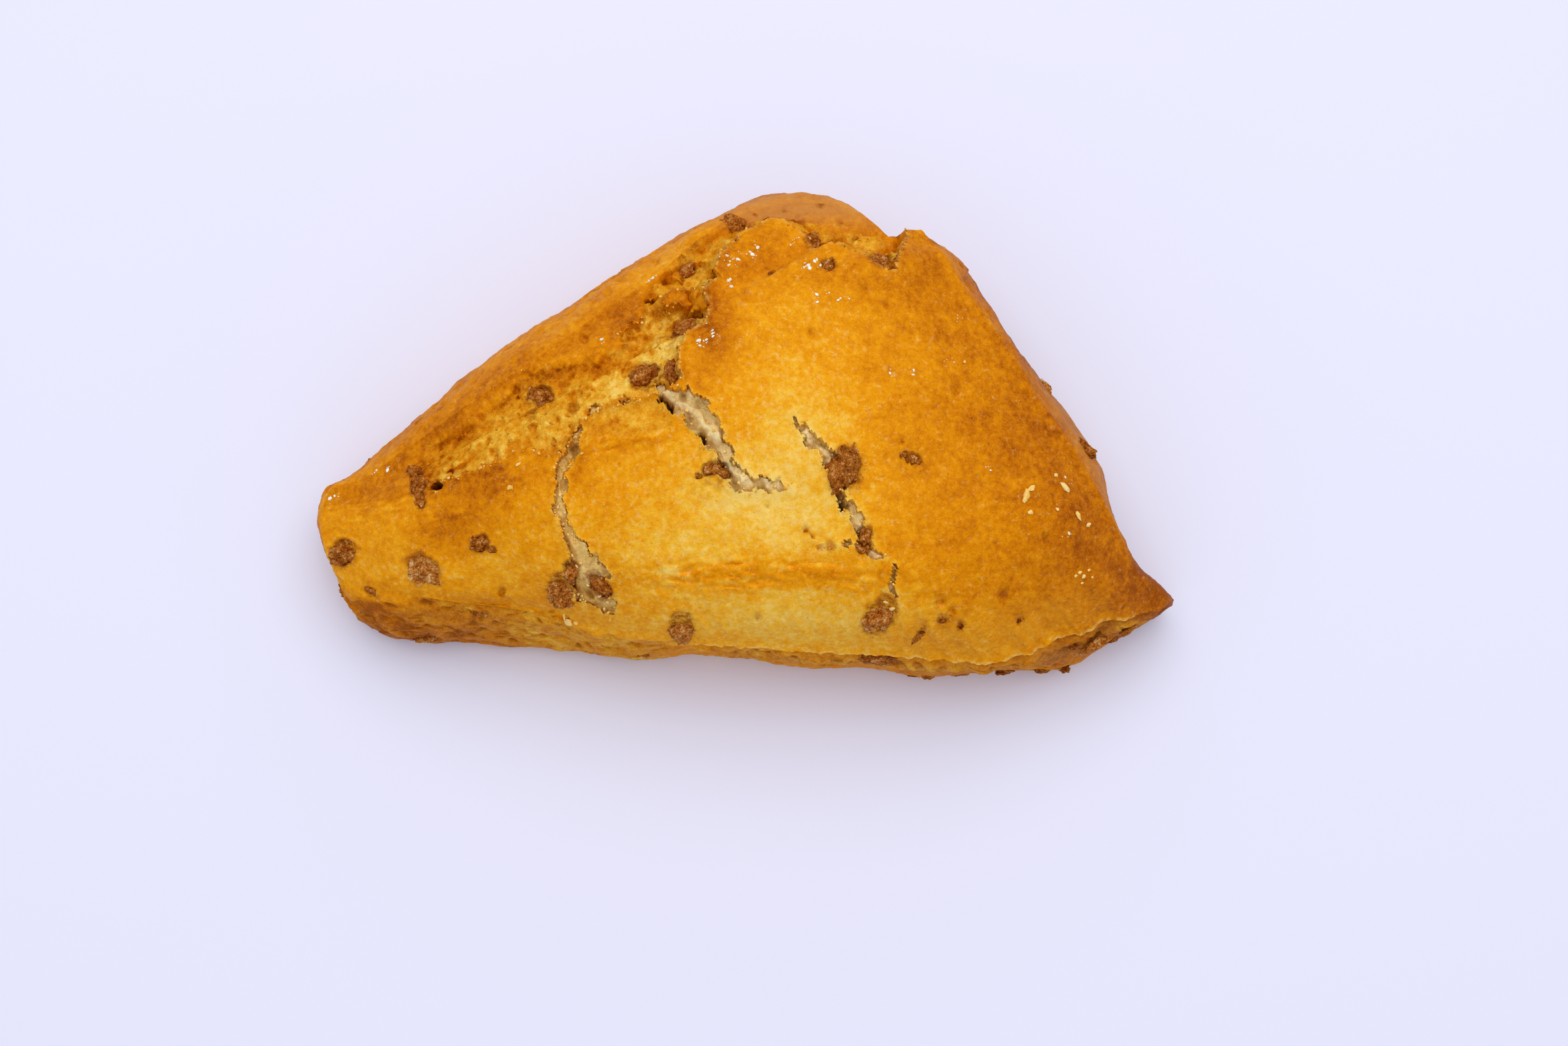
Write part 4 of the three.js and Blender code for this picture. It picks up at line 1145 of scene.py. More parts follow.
# %% Crust mesh
def crust_mesh():
    """Numbers the points of top, walls and underside, joins neighbours, and stitches rim to walls."""
    columns, rows = top_done.shape[:2]
    numbers = np.arange(columns * rows).reshape(columns, rows)
    ring = around(numbers)
    lower = np.concatenate([walls, underside])
    wall_numbers = numbers.size + np.arange(lower.shape[0] * lower.shape[1]).reshape(lower.shape[:2])
    first = wall_numbers[0]
    even, odd, next_even = ring[::2], ring[1::2], np.roll(ring[::2], -1)
    ahead = np.roll(first, -1)
    trios = ((even, first, odd), (odd, first, ahead), (odd, ahead, next_even))
    stitches = np.concatenate([np.stack(trio, 1) for trio in trios])
    hub = wall_numbers.max() + 1
    last = wall_numbers[-1]
    fan = np.stack([last, np.full_like(last, hub), np.roll(last, -1)], 1)
    quads = np.concatenate([quads_between(numbers), quads_between(wall_numbers, closed=True)])
    points = np.concatenate([top_done.reshape(-1, 3), lower.reshape(-1, 3), FOOT_HUB[None]])
    return points, [quads, stitches, fan], numbers.size, wall_numbers


def over_crust(on_top, elsewhere):
    """One number a vertex of the crust: those of the top's grid, and the same number everywhere else."""
    values = np.full(len(crust_points), elsewhere, float)
    values[:top_size] = on_top.ravel()
    return values


crust_points, crust_faces, top_size, wall_numbers = crust_mesh()
crust_x, crust_y, crust_z = crust_points.T
on_walls, above_foot = wall_numbers[:len(rows_down)], wall_numbers[:WALL_ROWS]
down = over_crust(0 * lobe, 1)
down[on_walls] = rows_down
height_share = smooth_step(crust_z, 0.0, 12.0)
brown = browning(crust_points)
wall_browner = smooth_step(down, 0.0, 0.7) * (WALL_BROWN - TOP_BROWN)
brown += wall_browner + (1 - height_share) * (FOOT_BROWN - WALL_BROWN)
lip_line = over_crust(0 * lobe, 0)
lip_line[above_foot] = 0.4 * lip + 0.3 * lower_layer + 0.2 * waist
lobe_all = over_crust(lobe, -9)
brown += 0.12 * smooth_step(lobe_all, 0, 1)
dull_lobe = smooth_step(crust_x + 4 * noise(crust_points, 8.0, 155), -20, 2)
dull = 0.6 * smooth_step(crust_y, 29, 34) * dull_lobe
right_wall = smooth_step(down, 0.0, 0.3) * smooth_step(crust_x, 42, 50) * smooth_step(crust_y, -22, -12)
dull = np.maximum(dull, 0.5 * right_wall)
dull *= 0.4 + 0.6 * smooth_step(crust_z, 6, 22)
dull *= 1 - smooth_step(-lobe_all, -1.5, 0) * (down == 0)
crack_all = over_crust(crack, 9)
nearness = chip_nearness(crust_points)
into_terrace = terrace_distance(top)
terrace_share = smooth_step(into_terrace, -0.3, 0.5) * (torn < 0) * (crack > 0)
bare_top = np.maximum(torn_share, 0.5 * terrace_share)
for x, y, reach_u, reach_v, turn in BARE_BLOTS:
    u, v = turned(top, x, y, turn)
    blot = 0.9 * np.exp(-((u / reach_u) ** 2 + (v / reach_v) ** 2) ** 2) * (lobe > 0)
    bare_top = np.maximum(bare_top, blot)
bare_colour = over_crust(bare_top, 0)
beside_plates = np.exp(-((line_distance(SMALL_PLATES_EDGE, top) / 2.2) ** 2))
beside_plates += np.exp(-((line_distance(PLATEAU_EDGE[:11], top) / 2.0) ** 2))
bare_tone = over_crust(0.36 + bare_toast_and_shade + 0.3 * soft_edge - 0.12 * beside_plates + 0.1 * terrace_share, 0)
crumb_share = np.maximum(smooth_step(-crack_all, -0.05, 0.2), 0.5 * np.minimum(1, lip_line))
front_edge = np.arange(top_size).reshape(top.shape[:2])[:, 0]
crumb_share[front_edge] = 0.9 * lip_share * smooth_step(noise(top[:, 0], 2.0, 153), -0.4, 0.2)
edge_line = np.exp(-((lobe / 0.22) ** 2)) * smooth_step(noise(top, 2.2, 157), -0.4, 0.2) * ~border
crumb_share[:top_size] = np.maximum(crumb_share[:top_size], 0.6 * edge_line.ravel())
bare_colour[on_walls] = 0.85 * torn_wall
# Painted shade: the torn wall's crumb is darker in its small pits.
wall_tone = 0.6 + 0.5 * small_pit + 0.25 * rough_noise(walls, 3.0, 97) - 0.1 * blunt_slope - 0.25 * waist_all
bare_tone[on_walls] = wall_tone
for x, y, reach_x, reach_y, amount in BARE_SPOTS.values():
    bare_tone += amount * np.exp(-(((crust_x - x) / reach_x) ** 2) - ((crust_y - y) / reach_y) ** 2)
stain_and_shade = stain_and_shade_spots(crust_points, 1 - smooth_step(nearness, 0.9, 1.35))
brown -= 0.16 * np.exp(-((np.maximum(crack_all, 0) / 0.6) ** 2))
brown[:top_size] += (0.14 * (1 - soft_edge) * np.exp(-(((np.maximum(-torn, 0) - 0.7) / 0.6) ** 2))).ravel()
brown[:top_size] += (0.16 * np.exp(-(((into_terrace + 0.9) / 0.8) ** 2)) - 0.05 * terrace_share).ravel()
# Painted shade in the crease under the front lip, and a little on the torn layer below it.
brown[above_foot] += 0.6 * lip + 0.1 * lower_layer
brown -= 0.2 * (1 - height_share) * smooth_step(-crust_y, 30, 36) * smooth_step(crust_x, -30, -10)
for x, y, reach_u, reach_v, turn, high in WRINKLES.values():
    u, v = turned(crust_points, x, y, turn)
    near_band = np.exp(-((u / reach_u) ** 4) - (v / reach_v) ** 2) * (down == 0)
    brown += 0.4 * high * near_band * wrinkle_noise(u + 3, v, x + 0.4)
print("browning from", round(float(brown.min()), 2), "to", round(float(brown.max()), 2))

# %% [markdown]
# ## Crust material
# Browned crust is a thin, slightly glossy skin over pale dough. Its colour comes from the browning number
# through a ramp of baked colours, with three sizes of mottling from noise. Where the skin is missing the
# crumb's colour is mixed in, and cinnamon stains darken it near the chips. The same dark colour is painted
# shade in the dimples and in a hole by the long chip. A little light passes into the dough and comes out
# again.

# %% Crust material
PALE_CRUST, GOLD_CRUST = srgb(248, 210, 108), srgb(243, 184, 46)
AMBER_CRUST, BROWN_CRUST = srgb(236, 156, 8), srgb(218, 133, 0)
DARK_CRUST, DARKEST_CRUST = srgb(190, 104, 0), srgb(152, 74, 0)
BLOOM = srgb(242, 204, 124)
CRUMB_PALE, CRUMB_SHADE = srgb(238, 196, 104), srgb(206, 150, 52)
DULL_CRUST = srgb(204, 138, 70)
STAIN_AND_SHADE_COLOUR, PIT_COLOUR, SPECK_COLOUR = srgb(150, 78, 22), srgb(158, 90, 8), srgb(186, 100, 14)


def toasted(wire, value):
    """The colours of crumb that the oven has toasted, from pale yellow to brown."""
    return wire.ramp(value, [
        (0.0, srgb(250, 214, 112)), (0.25, srgb(238, 182, 56)), (0.5, srgb(222, 148, 20)),
        (0.75, srgb(202, 116, 4)), (1.0, srgb(160, 82, 0)),
    ])


def crust_material():
    wire = Wiring("golden crust")
    slow = wire.noise(0.22, detail=3)
    blotch = wire.noise(1.15, detail=4, roughness=0.65)
    grain = wire.noise(4.0, detail=3, roughness=0.7)
    brown_value = wire.attribute("browning")
    cloud = wire.noise(0.4, detail=4, roughness=0.6)
    for pattern, amount in ((slow, 0.12), (cloud, 0.22), (blotch, 0.32), (grain, 0.2)):
        brown_value = wire.plus(brown_value, wire.swing(pattern, amount))
    crust = wire.ramp(brown_value, [
        (0.0, PALE_CRUST), (0.22, GOLD_CRUST), (0.44, AMBER_CRUST), (0.64, BROWN_CRUST), (0.84, DARK_CRUST),
        (1.0, DARKEST_CRUST),
    ])
    least = wire.range(brown_value, 0.1, 0.7, 0.44, 0.57)
    bloom = wire.range(wire.noise(1.1, detail=5, roughness=0.7), least, 0.72)
    crust = wire.mix(wire.times(bloom, wire.range(brown_value, 0.1, 0.7, 0.64, 0.3)), crust, BLOOM)
    crust = wire.mix(wire.attribute("dull"), crust, DULL_CRUST)
    tone = wire.plus(wire.attribute("tone"), wire.plus(wire.swing(blotch, 0.4), wire.swing(grain, 0.35)))
    share = wire.plus(wire.attribute("bare"), wire.swing(cloud, 0.35))
    share = wire.times(wire.range(share, 0.15, 0.6), wire.range(wire.attribute("bare"), 0.0, 0.1))
    pit = wire.range(wire.noise(0.8, detail=3), 0.62, 0.70)
    bare_crust = wire.mix(wire.times(pit, 0.7), toasted(wire, tone), PIT_COLOUR)
    crust = wire.mix(share, crust, bare_crust)
    crumb = wire.mix(wire.range(blotch, 0.4, 0.65), CRUMB_PALE, CRUMB_SHADE)
    colour = wire.mix(wire.attribute("crumb"), crust, crumb)
    stain_and_shade_share = wire.times(wire.attribute("stain_and_shade"), wire.range(blotch, 0.38, 0.6, 0.25, 0.85))
    colour = wire.mix(stain_and_shade_share, colour, STAIN_AND_SHADE_COLOUR)
    speck = wire.range(wire.noise(1.3, detail=2), 0.68, 0.76)
    colour = wire.mix(wire.times(speck, 0.5), colour, SPECK_COLOUR)
    wire.put(wire.shader.inputs["Base Color"], colour)
    wire.put(wire.shader.inputs["Roughness"], wire.range(grain, 0.3, 0.7, 0.42, 0.62))
    wire.shader.inputs["Specular IOR Level"].default_value = 0.05
    wire.shader.inputs["Subsurface Weight"].default_value = 0.12
    wire.shader.inputs["Subsurface Radius"].default_value = (1.0, 0.45, 0.15)
    wire.shader.inputs["Subsurface Scale"].default_value = 1.2 * MM
    texture = wire.plus(wire.times(blotch, 0.5), wire.times(grain, 0.35))
    texture = wire.times(texture, wire.range(wire.attribute("bare"), 0.0, 1.0, 1.0, 1.9))
    wire.bump(texture, 0.35, 0.55)
    return wire.material


crust = mesh_piece(
    "scone_crust", crust_points, crust_faces, crust_material(),
    {"browning": brown, "crumb": crumb_share, "stain_and_shade": stain_and_shade, "dull": dull,
     "bare": bare_colour, "tone": bare_tone},
)
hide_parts("scone")
crust_normals = np.zeros(3 * len(crust_points), np.float32)
crust.data.vertex_normals.foreach_get("vector", crust_normals)
crust_normals = crust_normals.reshape(-1, 3)

# %% [markdown]
# ## Crumb in the cracks and in the torn patch
# Inside, a scone is soft pale crumb in pebbles of about a millimetre. It needs a finer grid than the crust,
# but only where it shows: in the cracks, and in a band behind the plateau's torn edge, where the oven has
# toasted it and painted shade darkens it below the step. So the same patch is worked out again with smaller
# cells, the cells near a tear are kept, and the kept ones become a thin slab with an underside and sides,
# tucked in under the crust's edge. A crack is deepest on its lower left. Its crumb carries painted shade:
# darker with depth, in the grooves between lumps, towards the lower left, and in the left crack, whose crumb
# is also a warmer yellow.

# %% Crumb slab
FINER = 2.1  # crumb cells to one crust cell, each way
SLAB_DEPTH = 2.5
TUCK = 0.9  # how far the slab reaches in under the crust, in mm


def finer_grid(grid, share):
    """The grid resampled in straight lines between its points, with share times as many cells each way."""
    for axis in (0, 1):
        count = grid.shape[axis]
        wanted = np.linspace(0, count - 1, int((count - 1) * share) + 1)
        left = np.minimum(wanted.astype(int), count - 2)
        part = (wanted - left).reshape((-1, 1, 1) if axis == 0 else (1, -1, 1))
        grid = np.take(grid, left, axis) * (1 - part) + np.take(grid, left + 1, axis) * part
    return grid


def slab(points, keep, thickness):
    """A closed slab from the kept cells of a grid: the cells, their copies lower down, and the sides."""
    used = np.zeros(points.shape[:2], bool)
    for di, dj in np.ndindex(2, 2):
        used[di:used.shape[0] - 1 + di, dj:used.shape[1] - 1 + dj] |= keep
    numbers = np.cumsum(used.ravel()).reshape(used.shape) - 1
    upper = points[used]
    lower = upper - (0, 0, thickness)
    count = len(upper)
    a, b, c, d = numbers[:-1, :-1], numbers[1:, :-1], numbers[1:, 1:], numbers[:-1, 1:]
    cells = np.stack([a, b, c, d], -1)
    faces = [cells[keep], cells[keep][:, ::-1] + count]
    padded = np.pad(keep, 1)
    for (di, dj), (p, q) in {(-1, 0): (d, a), (1, 0): (b, c), (0, -1): (a, b), (0, 1): (c, d)}.items():
        edge = keep & ~padded[1 + di:padded.shape[0] - 1 + di, 1 + dj:padded.shape[1] - 1 + dj]
        faces.append(np.stack([p[edge], p[edge] + count, q[edge] + count, q[edge]], -1))
    return np.concatenate([upper, lower]), np.concatenate(faces), used


def crack_crumb(points):
    """Crumb inside a crack: lumps of about 4 mm, and pebbles of 2 mm and 0.9 mm with grooves between them."""
    wobble = points + 0.7 * np.stack([noise(points, 1.8, seed) for seed in (111, 112, 113)], -1)
    big, big_next = pebbles(wobble, 2.4, 115)
    small, small_next = pebbles(wobble, 0.85, 117)
    grooves = 0.6 * np.minimum(1, 1.6 * (big_next - big)) + 0.2 * np.minimum(1, 2.2 * (small_next - small))
    return 0.7 * noise(points, 3.6, 123) + grooves + 0.14 * rough_noise(points, 0.8, 119)


def upper_right_share(points, probe=1.6):
    """How far across its crack a point lies to the upper right, 0 to 1: how much farther from the crack's
    line the point one probe's length that way is, over the probe's length."""

    def nearest(places):
        return np.min([crack_distance(line, places)[0] for line in CRACKS.values()], axis=0)

    ahead = points + probe * np.array([0.6, 0.8, 0])
    return smooth_step((nearest(ahead) - nearest(points)) / probe, -0.9, 0.9)


fine = finer_grid(top, FINER)
fine_torn, fine_lobe, fine_crack, fine_depth = tear_distances(fine)
fine_torn_share, fine_band, _ = bare_shares(fine, fine_torn, fine_lobe)
near_crack = fine_crack < TUCK
near = near_crack | ((fine_lobe > -TUCK) & (fine_band > 0.02))
keep = near[:-1, :-1] & near[1:, :-1] & near[1:, 1:] & near[:-1, 1:]
fine_done = fine.copy()
fine_done[..., 2] += broad_relief(fine, fine_torn_share, fine_lobe)
inside_crack = smooth_step(-fine_crack, -0.2, 0.5)
crack_lumps = crack_crumb(fine)
band_lumps, band_toast_and_shade = bare_crumb(fine_done)
hole = smooth_step(noise(fine, 2.8, 125), 0.05, 0.35)
leaning = upper_right_share(fine)
crack_floor = (0.5 + fine_depth * (0.28 + 0.72 * hole)) * (1.15 - 0.6 * leaning)
crack_drop = np.where(near_crack, inside_crack * crack_floor + (1 - inside_crack) * 0.9, 0)
band_drop = 0.15 + 1.2 * (1 - fine_band) * (1 - inside_crack)
lumpy = inside_crack * crack_lumps + (1 - inside_crack) * band_lumps * (0.3 + 0.7 * fine_band)
fine_done[..., 2] += lumpy - 0.3 * inside_crack - np.maximum(crack_drop, band_drop)
fine_done[..., 2] -= socket(chip_nearness(fine_done))
fine_done = crumbled(fine_done, smooth_step(fine_crack, 0.3, 1.0) * steepness(fine_done))
crumb_points, crumb_quads, crumb_used = slab(fine_done, keep, SLAB_DEPTH)
left_crack = smooth_step(-fine[..., 0], 15, 21)
# Painted shade: the crumb is darker the deeper it lies in a crack.
depth_shade = (inside_crack * np.maximum(crack_drop, 0) / 3.6)[crumb_used]
oven = np.maximum(fine_band * (1 - inside_crack), smooth_step(fine_crack, 0.2, TUCK))[crumb_used]
# Painted shade in the cracks: darker in the grooves between lumps, towards the lower left and in the left
# crack.
crack_painted_shade = 0.7 - 0.5 * crack_lumps - 0.4 * leaning + 0.15 * left_crack
hollow = np.where(inside_crack > 0.5, crack_painted_shade, 0.3 + 1.6 * band_toast_and_shade)[crumb_used]
# Toasting and painted shade: the band's crumb just below the plateau's torn step is browned darker, partly as
# the step's shade.
edge_toast_and_shade = (0.8 + 0.4 * noise(fine, 3.5, 147))[crumb_used]
warm_crumb = 0.85 * left_crack[crumb_used]
fine_stain_and_shade = stain_and_shade_spots(fine_done, 1 - smooth_step(chip_nearness(fine_done), 0.9, 1.7))[crumb_used]


def crumb_material():
    wire = Wiring("pale crumb")
    blotch = wire.noise(0.8, detail=4)
    grain = wire.noise(4.0, detail=3)
    mottle = wire.plus(wire.swing(blotch, 0.24), wire.swing(grain, 0.15))
    # Painted shade: the two numbers read here darken the crumb in its grooves, on the lower left of each
    # crack and with the crack's depth; in the band the first one is the toasting.
    shade = wire.plus(wire.times(wire.attribute("hollow"), 0.35), mottle)
    deeper = wire.plus(shade, wire.times(wire.attribute("depth_shade"), 0.85))
    pale = wire.ramp(deeper, [
        (0.0, srgb(250, 228, 172)), (0.35, srgb(228, 198, 132)), (0.7, srgb(180, 142, 72)),
        (1.0, srgb(86, 56, 12)),
    ])
    warm = wire.ramp(deeper, [
        (0.0, srgb(244, 210, 130)), (0.45, srgb(220, 176, 88)), (0.8, srgb(176, 126, 46)),
        (1.0, srgb(100, 66, 16)),
    ])
    pale = wire.mix(wire.attribute("warm"), pale, warm)
    browned = toasted(wire, wire.plus(shade, wire.times(wire.attribute("rim"), 0.5)))
    colour = wire.mix(wire.attribute("oven"), pale, browned)
    stain_and_shade_share = wire.times(wire.attribute("stain_and_shade"), wire.range(blotch, 0.35, 0.6, 0.3, 0.9))
    colour = wire.mix(stain_and_shade_share, colour, STAIN_AND_SHADE_COLOUR)
    wire.put(wire.shader.inputs["Base Color"], colour)
    wire.shader.inputs["Roughness"].default_value = 0.7
    wire.shader.inputs["Specular IOR Level"].default_value = 0.04
    wire.shader.inputs["Subsurface Weight"].default_value = 0.2
    wire.shader.inputs["Subsurface Radius"].default_value = (1.0, 0.5, 0.2)
    wire.shader.inputs["Subsurface Scale"].default_value = 1.0 * MM
    wire.bump(wire.plus(blotch, wire.times(grain, 0.5)), 0.3, 0.6)
    return wire.material


crumb_values = {
    "hollow": hollow, "oven": oven, "stain_and_shade": fine_stain_and_shade,
    "depth_shade": depth_shade, "rim": edge_toast_and_shade, "warm": warm_crumb,
}
mesh_piece(
    "torn_crumb", crumb_points, [crumb_quads], crumb_material(),
    {name: np.tile(numbers, 2) for name, numbers in crumb_values.items()},
)

# %% [markdown]
# ## Lumps: chips, crumbs, and sugar grains with painted glints
# A chip, a crumb and a white grain, which stands for sugar and for a painted glint of light on the glaze, are
# all small angular lumps. A ball cut by random planes with rounded edges gives such a lump: for each
# direction, the planes' pulls are added up with a high power, and the sum says how far out the surface is.
# All lumps of a kind are made in one go and joined in one mesh.

# %% Lump helper
CUTS = 14  # random planes that cut each ball
BUMP_SIZE = 0.7  # of the bumps on a lump, where its own radius is 1


def ball(rows, columns):
    """Directions on a ball in rings with a point at each pole, and its faces as quads and triangles."""
    polar = (np.arange(1, rows) / rows * math.pi)[:, None]
    turn = (np.arange(columns) / columns * 2 * math.pi)[None, :]
    level = np.sin(polar)
    rings = np.stack([level * np.cos(turn), level * np.sin(turn), np.cos(polar) + 0 * turn], -1)
    directions = np.concatenate([[[0, 0, 1]], rings.reshape(-1, 3), [[0, 0, -1]]])
    numbers = 1 + np.arange((rows - 1) * columns).reshape(rows - 1, columns)
    first, last = numbers[0], numbers[-1]
    caps = np.concatenate([
        np.stack([0 * first, first, np.roll(first, -1)], 1),
        np.stack([last, 0 * last + len(directions) - 1, np.roll(last, -1)], 1),
    ])
    return directions, quads_between(numbers, closed=True), caps


def lumps(
    name, places, normals, sizes, turns, rows, columns, material,
    seed, sharpness, rough, shade=None, boxy=2.0,
):
    """One mesh of many lumps, each a ball cut by random planes: the radius is one over the p-norm of the
    pulls, with sharpness as p. Above 2, boxy makes them flat on top with upright sides. Rough is the height
    of the bumps."""
    random = np.random.default_rng(seed)
    count = len(places)
    directions, quads, caps = ball(rows, columns)
    planes = random.normal(size=(count, CUTS, 3))
    planes /= np.linalg.norm(planes, axis=2, keepdims=True)
    distance = random.uniform(0.76, 1.0, (count, 1, CUTS))
    pulls = np.maximum(0, np.einsum("vk,npk->nvp", directions, planes)) / distance
    radius = np.minimum(1.25, np.sum(pulls ** sharpness, -1) ** (-1 / sharpness))
    upright, level = np.abs(directions[:, 2]), np.hypot(directions[:, 0], directions[:, 1])
    radius = radius / (upright ** boxy + level ** boxy) ** (1 / boxy)
    shapes = directions * radius[..., None]
    jitter = rough_noise(shapes + 10 * np.arange(count)[:, None, None], BUMP_SIZE, seed, octaves=4, gain=0.6)
    shapes *= (1 + rough * jitter)[..., None]
    upward = normals / np.linalg.norm(normals, axis=1, keepdims=True)
    ahead = np.stack([np.cos(turns), np.sin(turns), 0 * turns], 1)
    ahead -= upward * np.sum(ahead * upward, 1, keepdims=True)
    ahead /= np.linalg.norm(ahead, axis=1, keepdims=True)
    axes = np.stack([ahead, np.cross(upward, ahead), upward], 1) * (sizes / 2)[..., None]
    points = places[:, None] + np.einsum("nvk,nkd->nvd", shapes, axes)
    steps = (np.arange(count) * len(directions))[:, None, None]
    faces = [(quads + steps).reshape(-1, 4), (caps + steps).reshape(-1, 3)]
    shade = np.repeat(random.uniform(0, 1, count) if shade is None else shade, len(directions))
    mesh_piece(name, points.reshape(-1, 3), faces, material, {"shade": shade})


def top_seats(places):
    """For each x, y the number of the nearest vertex of the crust's top, seen from above."""
    plan = top_done.reshape(-1, 3)[:, :2]
    return np.array([np.argmin(np.sum((plan - place) ** 2, -1)) for place in places])


# %% Cinnamon chips
CHIP_ROWS, CHIP_COLUMNS = 28, 44  # rings and points a ring of a chip's mesh


def chip_material():
    wire = Wiring("cinnamon chip")
    blotch = wire.noise(0.9, detail=3, roughness=0.6)
    grain = wire.noise(3.2, detail=4, roughness=0.75)
    value = wire.plus(wire.times(wire.attribute("shade"), 0.2), wire.swing(blotch, 0.8))
    value = wire.plus(value, wire.swing(grain, 0.95))
    value = wire.plus(value, 0.42)
    colour = wire.ramp(value, [
        (0.0, srgb(92, 36, 2)), (0.32, srgb(158, 80, 12)), (0.56, srgb(196, 116, 34)),
        (0.78, srgb(222, 156, 84)), (1.0, srgb(244, 206, 150)),
    ])
    wire.put(wire.shader.inputs["Base Color"], colour)
    wire.put(wire.shader.inputs["Roughness"], wire.range(grain, 0.3, 0.7, 0.4, 0.65))
    wire.shader.inputs["Specular IOR Level"].default_value = 0.08
    wire.bump(wire.plus(wire.times(blotch, 0.5), grain), 0.35, 1.0)
    return wire.material


chip_height = 0.85 * np.minimum(chip_length, chip_width)
chip_sizes = np.column_stack([chip_length, chip_width, chip_height])
chip_places = chip_spots + chip_outwards * (chip_out - 0.5 * chip_height)[:, None]
lumps(
    "cinnamon_chips", chip_places, chip_outwards, 1.06 * chip_sizes, np.radians(chip_turn),
    CHIP_ROWS, CHIP_COLUMNS, chip_material(), seed=5, sharpness=7, rough=0.36, shade=chip_tan, boxy=2.4,
)

# %% Loose crumbs, and sugar grains with painted glints
STUCK_FLAKES = np.array([  # x, y, length, width and turn in degrees of the larger flakes
    (42.6, -14.5, 2.9, 0.9, 70), (43.7, -13.2, 1.3, 0.8, 30), (49.6, -12.6, 2.1, 1.1, -30),
    (47.9, -10.8, 0.9, 0.7, 0), (43.4, -16.8, 0.9, 0.7, 0), (51.5, -16.8, 1.7, 0.8, -40),
    (53.2, -18.3, 1.2, 0.7, 20), (52.9, -26, 0.9, 0.7, 10), (52.1, -25.4, 0.8, 0.6, 50),
    (53.6, -25.5, 0.6, 0.5, 0), (51.3, -26.1, 0.7, 0.5, 30), (52.6, -26.9, 0.6, 0.4, 0),
    (54.2, -26.4, 0.5, 0.4, 0), (48, -16.1, 0.8, 0.6, 0), (-28.9, -34.1, 1.9, 1.3, 20),
    (-29.3, -32.2, 2.1, 0.5, 80), (-27.6, -33.4, 1, 0.8, 0), (-36.9, -13.6, 1.2, 1, 0),
    (-35.7, -10.2, 1, 0.5, 30), (33.4, 6.6, 0.6, 0.5, 0), (21.9, -31.8, 1.2, 0.8, 40),
    (21, -31, 0.9, 0.6, -20), (13.7, -12.6, 1, 0.7, 0),
])
SUGAR_AND_GLINT_SPOTS = np.array([  # x, y
    (0.7, 25.5), (0.2, 24.8), (-0.6, 23.9), (-2.2, 23.3), (-2.9, 23.1), (-3.4, 19.4), (-4.1, 23.3),
    (7.9, 21.5), (8.7, 21.2), (10.2, 21.2), (7.2, 27.1), (6.8, 26.3), (10, 21.1), (11.8, 16.2), (14.1, 15.6),
    (10.5, 15.7), (-5.3, 9.3), (-6.1, 9.4), (-7.7, 8.2), (-8.1, 7.8), (-7.4, 7.4), (-8.1, 8.5), (-23.6, 10.5),
    (-17, 21.8), (-16, 21.9), (-9.3, 19.2), (-57.9, -8.9), (-60.1, -9), (-67, -12.4), (32.4, 13.5),
    (30.5, 6.4), (24.6, 4.2), (21.5, 3.7), (49.6, -20.4), (49.8, -11.4), (36.6, -10.4),
])
# The white grains are sugar, and they also stand for painted glints of light on the glaze.
GRAINS_A_SPOT, SUGAR_AND_GLINT_SPREAD = 4, 0.45  # sugar grains round each spot, and how far they scatter
EDGE_CRUMBS, INNER_CRUMBS = 240, 70
GRAIN_ROWS, GRAIN_COLUMNS = 6, 8  # rings and points a ring of a grain's mesh
FULL_TURN = 6.28  # radians


def crumb_grain_material():
    wire = Wiring("crumb grains")
    value = wire.plus(wire.attribute("shade"), wire.swing(wire.noise(2.5), 0.5))
    colour = wire.ramp(value, [
        (0.0, srgb(250, 222, 150)), (0.45, srgb(242, 190, 84)), (0.8, srgb(226, 154, 36)),
        (1.0, srgb(176, 100, 22)),
    ])
    wire.put(wire.shader.inputs["Base Color"], colour)
    wire.shader.inputs["Roughness"].default_value = 0.7
    wire.shader.inputs["Specular IOR Level"].default_value = 0.05
    return wire.material


# Painted highlight: the grains are nearly white and glossy, standing for glints of light on the glaze as well
# as for sugar.
def sugar_and_glint_material():
    wire = Wiring("sugar and painted glints")
    tint = wire.mix(wire.attribute("shade"), srgb(252, 246, 236), srgb(244, 222, 190))
    wire.put(wire.shader.inputs["Base Color"], tint)
    wire.shader.inputs["Roughness"].default_value = 0.18
    wire.shader.inputs["Specular IOR Level"].default_value = 0.5
    wire.shader.inputs["Subsurface Weight"].default_value = 0.3
    wire.shader.inputs["Subsurface Scale"].default_value = 0.5 * MM
    return wire.material


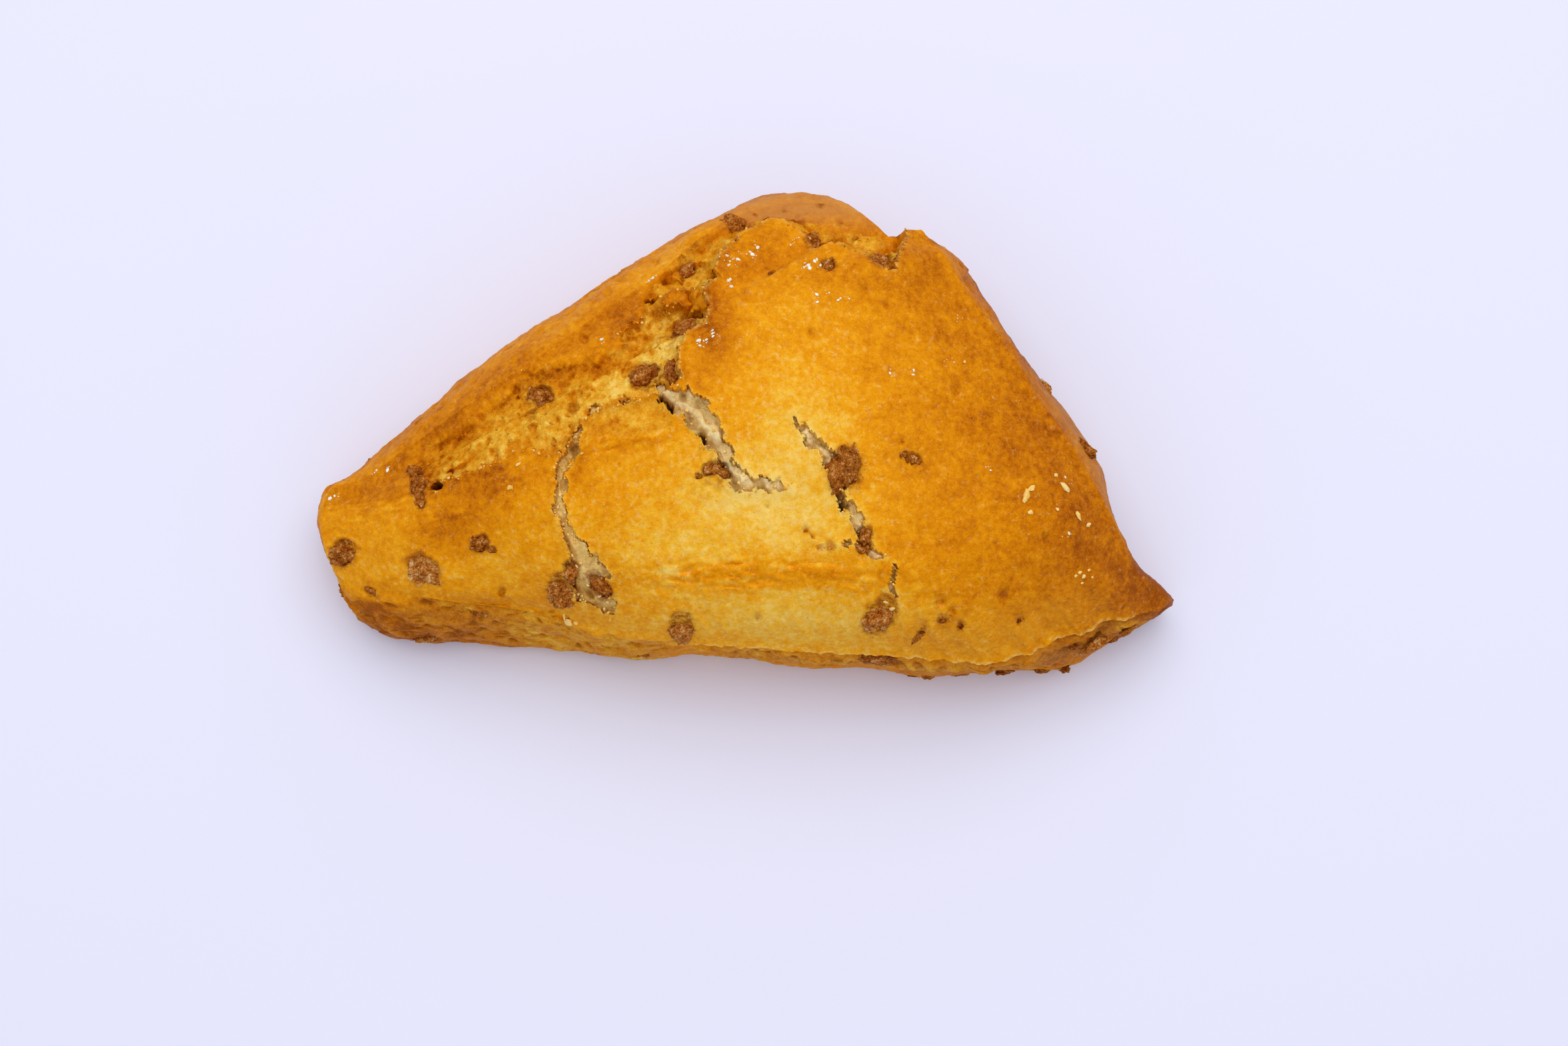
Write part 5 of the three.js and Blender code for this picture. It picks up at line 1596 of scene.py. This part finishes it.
random = np.random.default_rng(23)
top_flat, top_crack, top_torn = top_done.reshape(-1, 3), crack.ravel(), torn.ravel()
at_edge = np.abs(top_crack - 0.15) < 0.3
at_edge |= (np.abs(top_torn + 0.1) < 0.35) & (soft_edge.ravel() < 0.3)
at_edge |= (np.abs(lobe.ravel() + 0.05) < 0.3) & ~border.ravel()
edge_seats = random.choice(np.flatnonzero(at_edge), EDGE_CRUMBS)
half = len(crumb_points) // 2
inner_seats = random.choice(np.flatnonzero(depth_shade > 0.12), INNER_CRUMBS)
flake_seats = top_seats(STUCK_FLAKES[:, :2])
crumb_places = np.concatenate([top_flat[edge_seats], crumb_points[:half][inner_seats], top_flat[flake_seats]])
mean_sizes = np.r_[random.uniform(0.22, 0.5, EDGE_CRUMBS), random.uniform(0.3, 0.65, INNER_CRUMBS)]
small_sizes = mean_sizes[:, None] * random.uniform(0.7, 1.3, (EDGE_CRUMBS + INNER_CRUMBS, 3))
flake_sizes = np.column_stack([STUCK_FLAKES[:, 2:4], 0.6 * STUCK_FLAKES[:, 3]])
crumb_sizes = np.concatenate([small_sizes, flake_sizes])
inner_normals = np.tile([0.0, 0.0, 1.0], (INNER_CRUMBS, 1))
crumb_normals = np.concatenate([crust_normals[edge_seats], inner_normals, crust_normals[flake_seats]])
crumb_turns = np.concatenate([random.uniform(0, FULL_TURN, len(small_sizes)), np.radians(STUCK_FLAKES[:, 4])])
crumb_shades = np.r_[
    random.uniform(0.3, 0.8, EDGE_CRUMBS), random.uniform(0.0, 0.45, INNER_CRUMBS),
    random.uniform(0.1, 0.4, len(flake_seats)),
]
lumps(
    "crumb_grains", crumb_places + 0.1 * crumb_normals, crumb_normals, crumb_sizes, crumb_turns,
    GRAIN_ROWS, GRAIN_COLUMNS, crumb_grain_material(), seed=29, sharpness=6, rough=0.35, shade=crumb_shades,
)
# White grains round each spot: sugar, and painted glints where the glaze catches the light.
spots = np.repeat(SUGAR_AND_GLINT_SPOTS, GRAINS_A_SPOT, axis=0)
spots += random.normal(0, SUGAR_AND_GLINT_SPREAD, spots.shape)
sugar_and_glint_seats = top_seats(spots)
sugar_and_glint_normals = crust_normals[sugar_and_glint_seats]
sugar_and_glint_sizes = (0.16 + 0.6 * random.uniform(0, 1, (len(spots), 1)) ** 3) * np.array([1.2, 0.8, 0.5])
lumps(
    "sugar_and_glint_grains", top_flat[sugar_and_glint_seats] + 0.05 * sugar_and_glint_normals, sugar_and_glint_normals, sugar_and_glint_sizes,
    random.uniform(0, FULL_TURN, len(spots)), GRAIN_ROWS, GRAIN_COLUMNS, sugar_and_glint_material(),
    seed=31, sharpness=8, rough=0.2,
)
